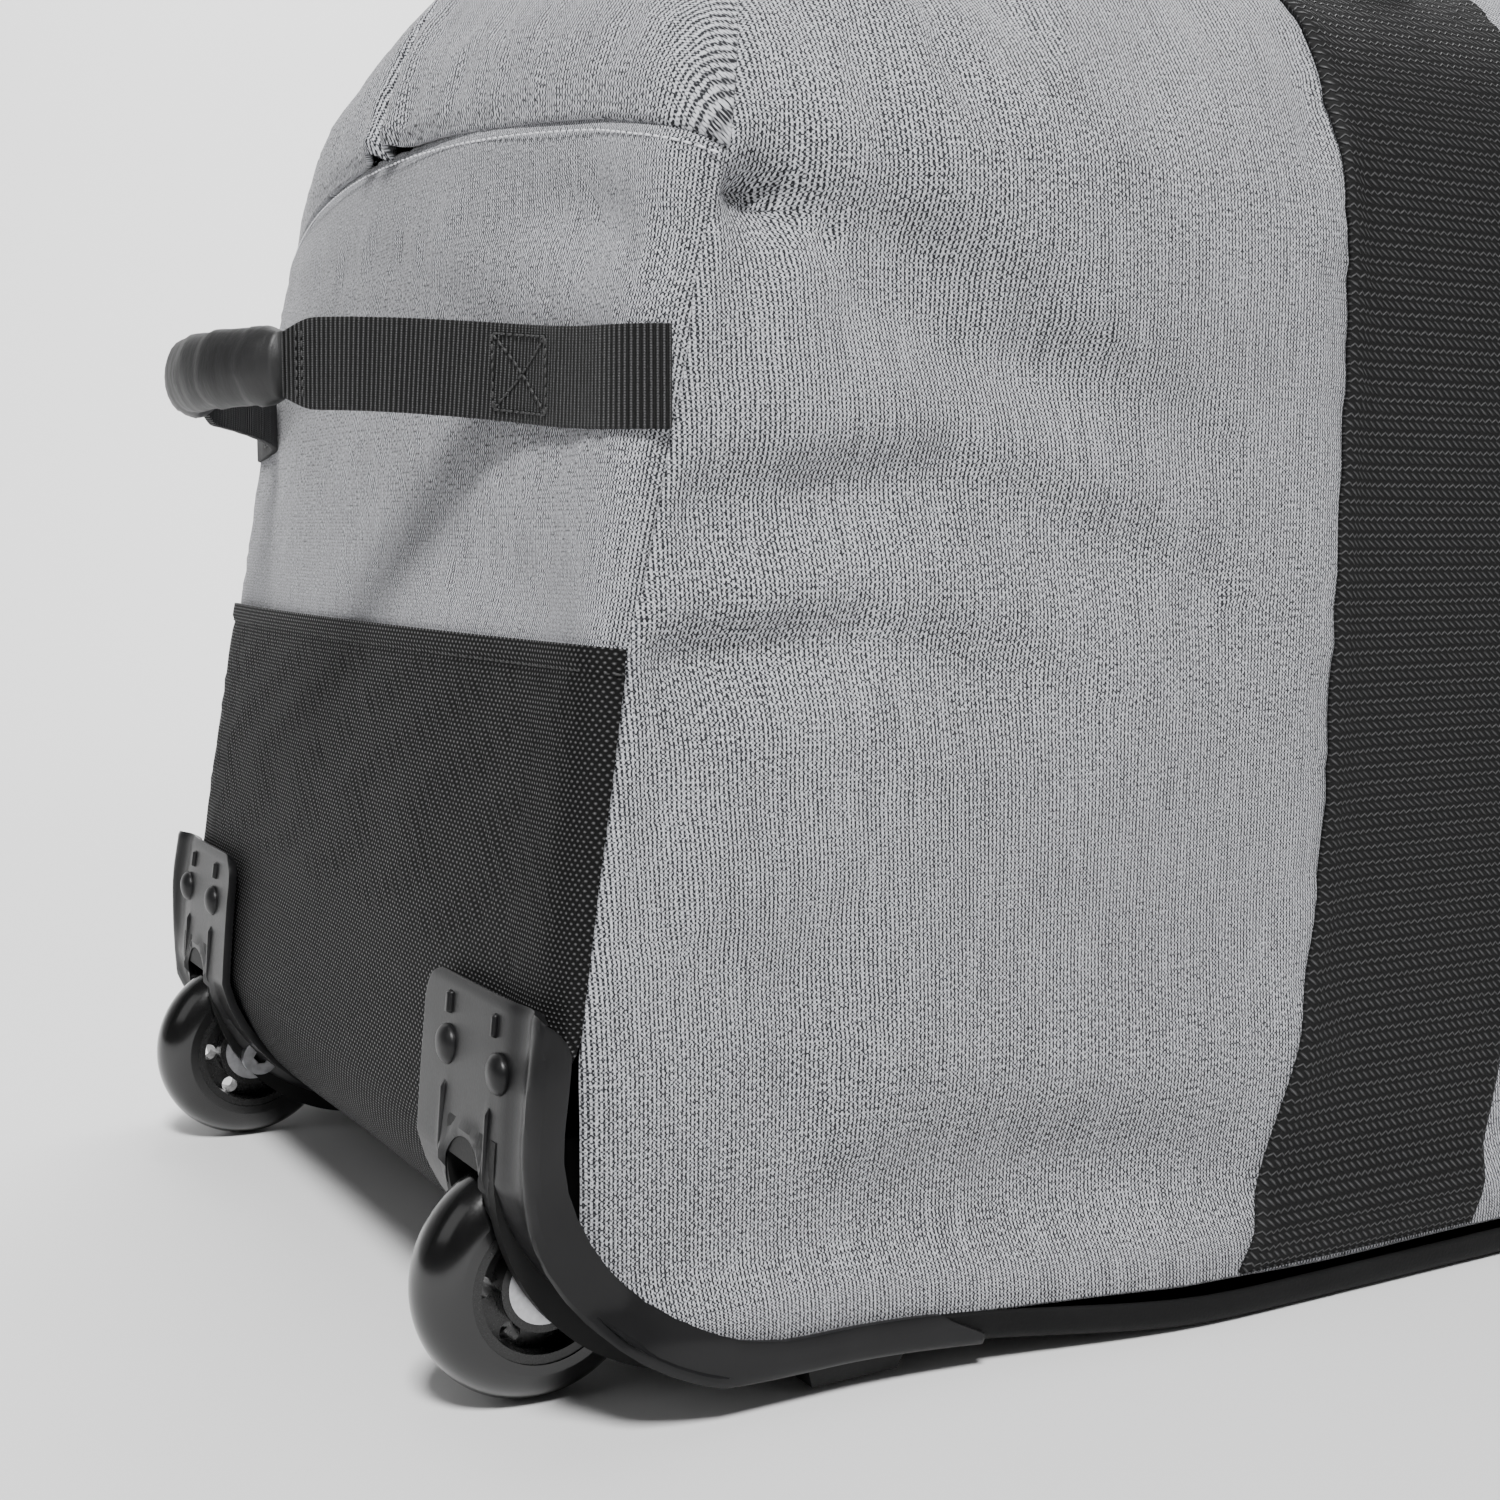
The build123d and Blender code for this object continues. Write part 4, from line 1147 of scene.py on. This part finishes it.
def carryHandle(sign, sideName):
    style = carryStyle
    foot = Vector((0, sign * style["pivot"][0], style["pivot"][1]))
    rise = Vector((0, sign * style["top"][0], style["top"][1])) - foot
    tall, up = rise.length, rise.normalized()
    facing = Vector((1, 0, 0)).cross(up)
    leg = []
    shoulder = section.where(0, 0.146, 0.4)
    hinge = section.where(0, style["pivot"][0] + 0.006, 0.4)
    for i in range(9):  # sewn to the band, over the shoulder
        hit, out = sidePoint(sign, 0.0, shoulder + (hinge - shoulder) * i / 8)
        leg.append(hit + out * (0.0055 + 0.002 * (i / 8) ** 3))
    arch = [(0.0, 0.012), (0.0, 0.045)]
    arch += arcThrough((0.0, 0.062), (0.017, 0.103), (0.050, tall), 10)
    arch += [(0.0775, tall)]
    points = [p + Vector((-style["footX"], 0, 0)) for p in leg]
    points += [foot + Vector((a - style["footX"], 0, 0)) + up * b for a, b in arch]
    track = Track(points + [Vector((-p.x, p.y, p.z)) for p in reversed(points)])
    bm, spot = gridOver(
        spaced(track.length, 0.004, (0.001, 0.0025)), spaced(style["width"], 0.003, (0.0008, 0.002))
    )
    markCloth(bm, spot)
    for vert, (u, v) in spot.items():
        at, along = track.point(u), track.along(u)
        broad = facing.cross(along).normalized()
        inside = 1 - smooth(0.056, 0.070, abs(at.x))  # folded narrower inside the sleeve
        share = 1 - 0.28 * inside
        fromMiddle = v - style["width"] / 2
        wave = 0.0006 * noise.noise(Vector((u * 22, v * 30, sign)))
        curl = 0.0022 * (fromMiddle / style["width"] * 2) ** 2 * (1 - inside)
        vert.co = at + broad * fromMiddle * share + facing * (wave + curl)
    piece = addPiece(f"carryHandleStrap{sideName}", bm, "webbing", None)
    wall = piece.modifiers.new("wall", "SOLIDIFY")
    wall.thickness, wall.offset = style["thick"], 0
    depsgraph = bpy.context.evaluated_depsgraph_get()
    solid = bpy.data.meshes.new_from_object(piece.evaluated_get(depsgraph))
    piece.modifiers.clear()
    piece.data = solid
    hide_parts(f"carry_handle_strap_{sideName.lower()}")
    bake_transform(piece)

    def around(u, angle):
        distance = track.length / 2 + u * 0.064
        at, along = track.point(distance), track.along(distance)
        broad = facing.cross(along).normalized()
        taper = 1 - 0.10 * smooth(0.9, 1.0, abs(u))
        wrap = (u * 4.2 + cos(angle) * 0.12) % 1.0
        radius = 0.0118 * taper + 0.0007 * wrap
        radius += 0.0003 * noise.noise(Vector((u * 8, cos(angle), sin(angle))))
        return at + (broad * cos(angle) + facing * sin(angle) * 0.86) * radius

    side = sideName.lower()
    gripSleeve(f"carryHandleSleeve{sideName}", around, 70, 28, f"carry_{side}", f"carry_handle_grip_{side}")


def carryTabs():  # webbing patches that hold the straps' ends on the bands, sewn in a box with a cross
    low, high = section.where(0, 0.147, 0.4), section.where(0, 0.121, 0.4)
    width, fine = 0.038, (0.0008, 0.002)
    stitches = bmesh.new()
    for sign, sideName in ((-1, "Front"), (1, "Rear")):
        for end, endName in ((-1, "Wheel"), (1, "Tow")):
            middle = end * carryStyle["footX"]

            def onPatch(u, v, lift):  # u from the middle of the patch
                hit, out = sidePoint(sign, middle + u, v)
                rest = 1 - smooth(0.012, 0.0165, abs(u))
                return hit + out * (lift + 0.0040 * rest)

            def place(u, v):
                edge = min(u, width - u, v - low, high - v)
                return onPatch(u - width / 2, v, 0.0046 + tuck(edge, 0.0010, 0.0012))

            tab = clothGrid(
                f"carryTab{sideName}{endName}End", spaced(width, 0.004, fine),
                [low + r for r in spaced(high - low, 0.004, fine)], place, "webbing", 0.0016, flip=sign > 0,
            )
            high - low
            runs = boxAndCross(-0.0155, 0.0155, low + 0.0035, high - 0.0035)
            stitchRuns(stitches, runs, lambda u, v: onPatch(u, v, 0.0049), 0.0030, 0.0022)
    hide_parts("carry_handle_tabs")
    stitchPiece("carryTabStitches", stitches, "thread")


for sign, sideName in ((-1, "Front"), (1, "Rear")):
    carryHandle(sign, sideName)
carryTabs()
print("carry handles made")


# zip
def zipPath(step):
    points = []
    for end in (-1, 1):
        track = endTracks[end]
        start, stop = track.where(1, 0.3665), track.where(0, end * 0.3005, 0.6)
        count = round((stop - start) / step)
        part = []
        for i in range(count + 1):
            distance = start + (stop - start) * i / count
            x, z = track.point(distance)
            along = track.along(distance)
            out = Vector((along[1], 0, -along[0])) * end
            if out.z < 0:
                out = -out
            part.append(castForm(Vector((x, 0, z)) + out * 0.1, -out) - out * 0.0030)
        points.append(part)
    across = round(0.6 / step)
    top = [Vector((-0.3 + 0.6 * i / across, 0, form["top"] - 0.0030)) for i in range(1, across)]
    return points[0] + top + list(reversed(points[1]))


def zipPieces():
    path = Track(zipPath(0.006))
    count = int(path.length / 0.0024)
    bm = bmesh.new()
    for i in range(count):
        distance = (i + 0.5) * path.length / count
        at, along = path.point(distance), path.along(distance)
        side = 1 if i % 2 else -1
        up = Vector((0, 1, 0)).cross(along)
        up = up if up.z > 0 else -up
        line = [
            at + Vector((0, side * 0.0026, 0)) - up * 0.0006,
            at + Vector((0, side * 0.0012, 0)) + up * 0.0007,
            at - Vector((0, side * 0.0012, 0)) + up * 0.0007 + along * 0.0003,
            at - Vector((0, side * 0.0018, 0)) - up * 0.0004 + along * 0.0003,
        ]
        tubeInto(bm, line, [0.00065] * 4)
    bmesh.ops.recalc_face_normals(bm, faces=bm.faces[:])
    coil = addPiece("zipTeeth", bm, "zip_tape")
    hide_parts("zip_coil")
    for sign, sideName in ((-1, "front"), (1, "rear")):
        below = []
        for i in range(len(path.points)):
            at, along = path.point(path.at[i]), path.along(path.at[i])
            up = Vector((0, 1, 0)).cross(along)
            up = up if up.z > 0 else -up
            below.append(at + Vector((0, sign * 0.0068, 0)) - up * 0.0016)
        ribbon(
            f"zipTapeCloth{sideName.title()}", below, lambda t: (1.0, Vector((0, 1, 0))), 0.0128, 0.0007,
            "zip_tape", f"zip_tape_{sideName}",
        )


zipPieces()
print("zip made")

# corner guards
guardStyle = {
    "inner": 0.106, "top": 0.1175, "end": 0.285, "thick": 0.003, "proud": 0.0030, "wheelY": 0.144,
    "slotHalf": 0.0165, "slotTop": 0.0605, "reach": 1.012, "rivetApart": 0.0185, "rivetZ": 0.098,
}


def cornerGuard(name, sign, node):
    track = endTracks[-1]
    low = track.where(0, -guardStyle["end"])
    high = track.where(1, guardStyle["top"])
    span = high - low
    inner, wheelY = guardStyle["inner"], guardStyle["wheelY"]
    slot, archZ = guardStyle["slotHalf"], guardStyle["slotTop"]
    stand = guardStyle["thick"] + guardStyle["proud"]
    wrap = 0.060  # from the pivot line round the corner to the flange's edge
    plate = [inner, 0.1066, 0.1078, 0.1098, 0.112, 0.1145, 0.117, 0.1195, 0.122, 0.1245, wheelY - slot]
    plate += [wheelY + step * 0.00206 for step in range(-7, 8)]
    plate += [wheelY + slot, 0.1635, 0.166, 0.169, 0.172, 0.175, 0.1785, 0.1822]
    ledge = pivotY + wrap
    fine = (0.0, 0.0007, 0.0018, 0.0035, 0.0055, 0.008, 0.0105, 0.0125, 0.014, 0.0155, 0.017, 0.0195, 0.0225)
    columns = sorted(plate + [ledge - e for e in fine])
    rows = [low + r for r in spaced(span, 0.0034, (0.0007, 0.0018, 0.0035))]
    arch = [track.where(1, 0.0585, 0.4) + 0.0021 * i for i in range(12)]
    rows = sorted([r for r in rows if not arch[0] - 0.0012 < r < arch[-1] + 0.0012] + arch)

    def shareOf(y):
        if y <= pivotY:
            return y / pivotY * pivotShare
        return pivotShare + (guardStyle["reach"] - pivotShare) * (y - pivotY) / wrap

    def rounded(y, v):  # the top corners are rounded off, and the flange ends in a point
        for edge, turn, radius in ((inner, 1, 0.011), (ledge, -1, 0.012)):
            a, b = radius - (y - edge) * turn, radius - (high - v)
            if a > 0 and b > 0:
                scale = max(a, b) / sqrt(a * a + b * b)
                y = edge + (radius - a * scale) * turn
                v = high - (radius - b * scale)
        tip = v - low
        point = 0.0 if tip > 0.014 else (1 - tip / 0.014) * 0.006
        if ledge - y < 0.0125 and point:
            y -= point * (1 - (ledge - y) / 0.0125)
        return y, v

    def place(y, v):
        y, v = rounded(y, v)
        x, z = track.point(v)
        share = shareOf(y) + 0.004 * (1 - smooth(0.012, 0.05, z)) * max(y - pivotY, 0.0) / wrap
        hit, out = endPoint(-1, sign, v, share, plain=True)
        lift = stand - 0.0048 * smooth(0.3, 0.95, -out.z)
        fromSlot = abs(y - wheelY) - slot
        lowDown = 1 - smooth(0.066, 0.094, z)
        nearAxle = exp(-((Vector((x + 0.402, z - 0.028)).length / 0.027) ** 2))
        ridge = exp(-(((fromSlot - 0.0012) / 0.0024) ** 2))
        lift += ridge * (0.0011 * lowDown + 0.0052 * nearAxle)
        if z > archZ - 0.004:
            arch = sqrt((y - wheelY) ** 2 + (z - archZ) ** 2) - slot
            lift += 0.0012 * exp(-(((arch - 0.0015) / 0.0018) ** 2)) * smooth(archZ - 0.004, archZ + 0.004, z)
        fromLedge = ledge - y
        flange = 1 - smooth(0.0125, 0.0185, fromLedge)
        hollow = exp(-(((fromLedge - 0.024) / 0.008) ** 2))
        lift += 0.0024 * flange - 0.0012 * hollow * smooth(0.03, 0.08, z)
        lift -= 0.0012 * exp(-((fromLedge / 0.0012) ** 2))
        lift -= 0.0007 * exp(-(((high - v) / 0.001) ** 2))
        return hit + out * lift

    def arched(y, z):
        return sqrt((y - wheelY) ** 2 + max(z - archZ, 0.0) ** 2)

    bm, spot = gridOver(columns, rows)
    for vert, (y, v) in spot.items():  # bring the nearest points onto the arch of the wheel's slot
        z = track.point(v)[1]
        reach = arched(y, z)
        if z > archZ and abs(reach - slot) < 0.0016:
            scale = slot / reach
            spot[vert] = wheelY + (y - wheelY) * scale, v + (z - archZ) * (scale - 1)
    gone = []
    for face in bm.faces:
        y = sum(spot[v][0] for v in face.verts) / len(face.verts)
        x, z = track.point(sum(spot[v][1] for v in face.verts) / len(face.verts))
        if arched(y, z) < slot - 0.0003 and x < -0.366:
            gone.append(face)
    for vert, (y, v) in spot.items():
        vert.co = place(y, v)
    bmesh.ops.delete(bm, geom=gone, context="FACES")
    if sign > 0:
        bmesh.ops.reverse_faces(bm, faces=bm.faces[:])
    piece = addPiece(name, bm, "black_plastic")
    wall = piece.modifiers.new("wall", "SOLIDIFY")
    wall.thickness, wall.offset = guardStyle["thick"], -1
    soft = piece.modifiers.new("soft", "BEVEL")
    soft.width, soft.segments, soft.limit_method = 0.0005, 2, "ANGLE"
    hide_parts(node)

    bm = bmesh.new()  # short ribs over the rivets, and long ribs that run into the slot's lips
    for step in (-1, 1):
        y = wheelY + step * guardStyle["rivetApart"]
        for half, bottom, top, height in ((0.0019, 0.1065, 0.1130, 0.0015), (0.0013, 0.066, 0.0885, 0.0014)):
            start, end = track.where(1, bottom, 0.4), track.where(1, top, 0.4)
            made = bmesh.ops.create_grid(bm, x_segments=4, y_segments=10, size=0.5)["verts"]
            for vert in made:
                u, v = vert.co.x * 2, vert.co.y * 2
                y2, v2 = y + u * half, start + (end - start) * (v + 1) / 2
                crown = (1 - max(abs(u) - 0.55, 0.0) ** 2 * 4.8) * (1 - max(abs(v) - 0.86, 0.0) ** 2 * 48)
                hit, out = endPoint(-1, sign, v2, shareOf(y2), plain=True)
                vert.co = hit + out * (stand - 0.0002 + height * max(crown, 0.0))
    if sign > 0:
        bmesh.ops.reverse_faces(bm, faces=bm.faces[:])
    ribs = addPiece(name + "Ribs", bm, "black_plastic")
    wall = ribs.modifiers.new("wall", "SOLIDIFY")
    wall.thickness, wall.offset = 0.0012, -1


for sign, sideName in ((-1, "front"), (1, "rear")):
    cornerGuard(f"cornerGuard{sideName.title()}", sign, f"corner_guard_{sideName}")


# rivets
def rivets():
    bm = bmesh.new()
    for sign in (-1, 1):
        for step in (-1, 1):
            y = sign * guardStyle["wheelY"] + step * guardStyle["rivetApart"]
            hit = castForm(Vector((-0.6, y, guardStyle["rivetZ"])), Vector((1, 0, 0)))
            made = bmesh.ops.create_uvsphere(bm, u_segments=28, v_segments=16, radius=1.0)
            domed = Matrix.Diagonal((0.0032, 0.0058, 0.0058, 1))
            placed = Matrix.Translation(hit + Vector((-0.0059, 0, 0))) @ domed
            bmesh.ops.transform(bm, matrix=placed, verts=made["verts"])
    piece = addPiece("guardRivets", bm, "black_plastic")
    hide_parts("guard_rivets")


rivets()
print("guards made")

# finishes of the carried-over pieces
carried = {
    "tyre": ["tyre_front", "tyre_rear"],
    "hub": ["wheel_hub_front", "wheel_hub_rear"],
    "housing": ["wheel_housing_front", "wheel_housing_rear", "base_feet", "tube_bracket", "tube_saddles",
                "tube_plugs"],
    "steel": ["axle_bolts", "wheel_bearings_front", "wheel_bearings_rear", "button_spring", "release_rods",
              "lock_pin_front", "lock_pin_rear"],
    "aluminium": ["outer_tube_front", "outer_tube_rear", "sliding_tube_front", "sliding_tube_rear"],
    "board": ["base_board"],
    "black_plastic": ["tow_bezel", "tow_grip", "release_button"],
    "zip_metal": ["zip_slider_wheel_end", "zip_slider_tow_end", "zip_pull_wheel_end", "zip_pull_tow_end"],
}
for finish, names in carried.items():
    for name in names:
        slots = nodes[name].data.materials
        if not slots:
            slots.append(finishes[finish])
        for i in range(len(slots)):
            slots[i] = finishes[finish]

# floor, light and camera
bm = bmesh.new()
bmesh.ops.create_grid(bm, x_segments=1, y_segments=60, size=0.5)
for vert in bm.verts:  # the floor turns up into a wall behind
    along = (vert.co.y + 0.5) * 12 - 5
    turn = min(max((along - 2.2) / 1.2, 0.0), pi / 2)
    rest = max(along - 2.2 - 1.2 * pi / 2, 0.0)
    vert.co = Vector((vert.co.x * 16, min(along, 2.2) + 1.2 * sin(turn), 1.2 * (1 - cos(turn)) + rest))
floorMesh = bpy.data.meshes.new("floor")
bm.to_mesh(floorMesh)
bm.free()
for face in floorMesh.polygons:
    face.use_smooth = True
floor = bpy.data.objects.new("floor", floorMesh)
bpy.context.scene.collection.objects.link(floor)
floorFinish, _, floorShader = newFinish("paleFloor", Roughness=0.9)
floorShader.inputs["Base Color"].default_value = (0.8, 0.8, 0.8, 1)
floorMesh.materials.append(floorFinish)
floor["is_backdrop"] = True

world = bpy.data.worlds.new("studio")
bpy.context.scene.world = world
world.use_nodes = True
world.node_tree.nodes["Background"].inputs["Color"].default_value = (1, 1, 1, 1)
world.node_tree.nodes["Background"].inputs["Strength"].default_value = 0.09


def softBox(name, place, target, size, power):
    light = bpy.data.lights.new(name, "AREA")
    light.shape, light.size, light.energy = "SQUARE", size, power
    lamp = bpy.data.objects.new(name, light)
    lamp.location = place
    lamp.rotation_euler = (Vector(target) - Vector(place)).to_track_quat("-Z", "Y").to_euler()
    bpy.context.scene.collection.objects.link(lamp)


softBox("keyBox", (-1.1, -1.6, 2.5), (-0.2, -0.1, 0.25), 0.6, 150)
softBox("topBox", (0.1, 0.5, 2.8), (-0.1, 0, 0.3), 1.5, 16)
softBox("leftBox", (-2.2, -0.4, 1.4), (-0.3, 0, 0.2), 1.2, 5)
softBox("rightBox", (1.5, -2.3, 1.2), (0.0, -0.1, 0.2), 1.4, 5)
softBox("wallBox", (0.9, 1.5, 2.9), (1.3, 3.4, 0.4), 2.0, 190)

lens = bpy.data.cameras.new("camera")
camera = bpy.data.objects.new("camera", lens)
lens.sensor_width, lens.lens = 36, 2050 * 36 / 1500
lens.clip_start = 0.05
camera.location = (-0.6195, -0.6545, 0.2416)
look = Vector((0.4850, 0.8677, -0.1090))
camera.rotation_euler = look.to_track_quat("-Z", "Y").to_euler()
bpy.context.scene.collection.objects.link(camera)
bpy.context.scene.camera = camera


def plain(box):
    return [[float(value) for value in corner] for corner in box]


{"cad": plain(cadBox), "visual": plain(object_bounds())}
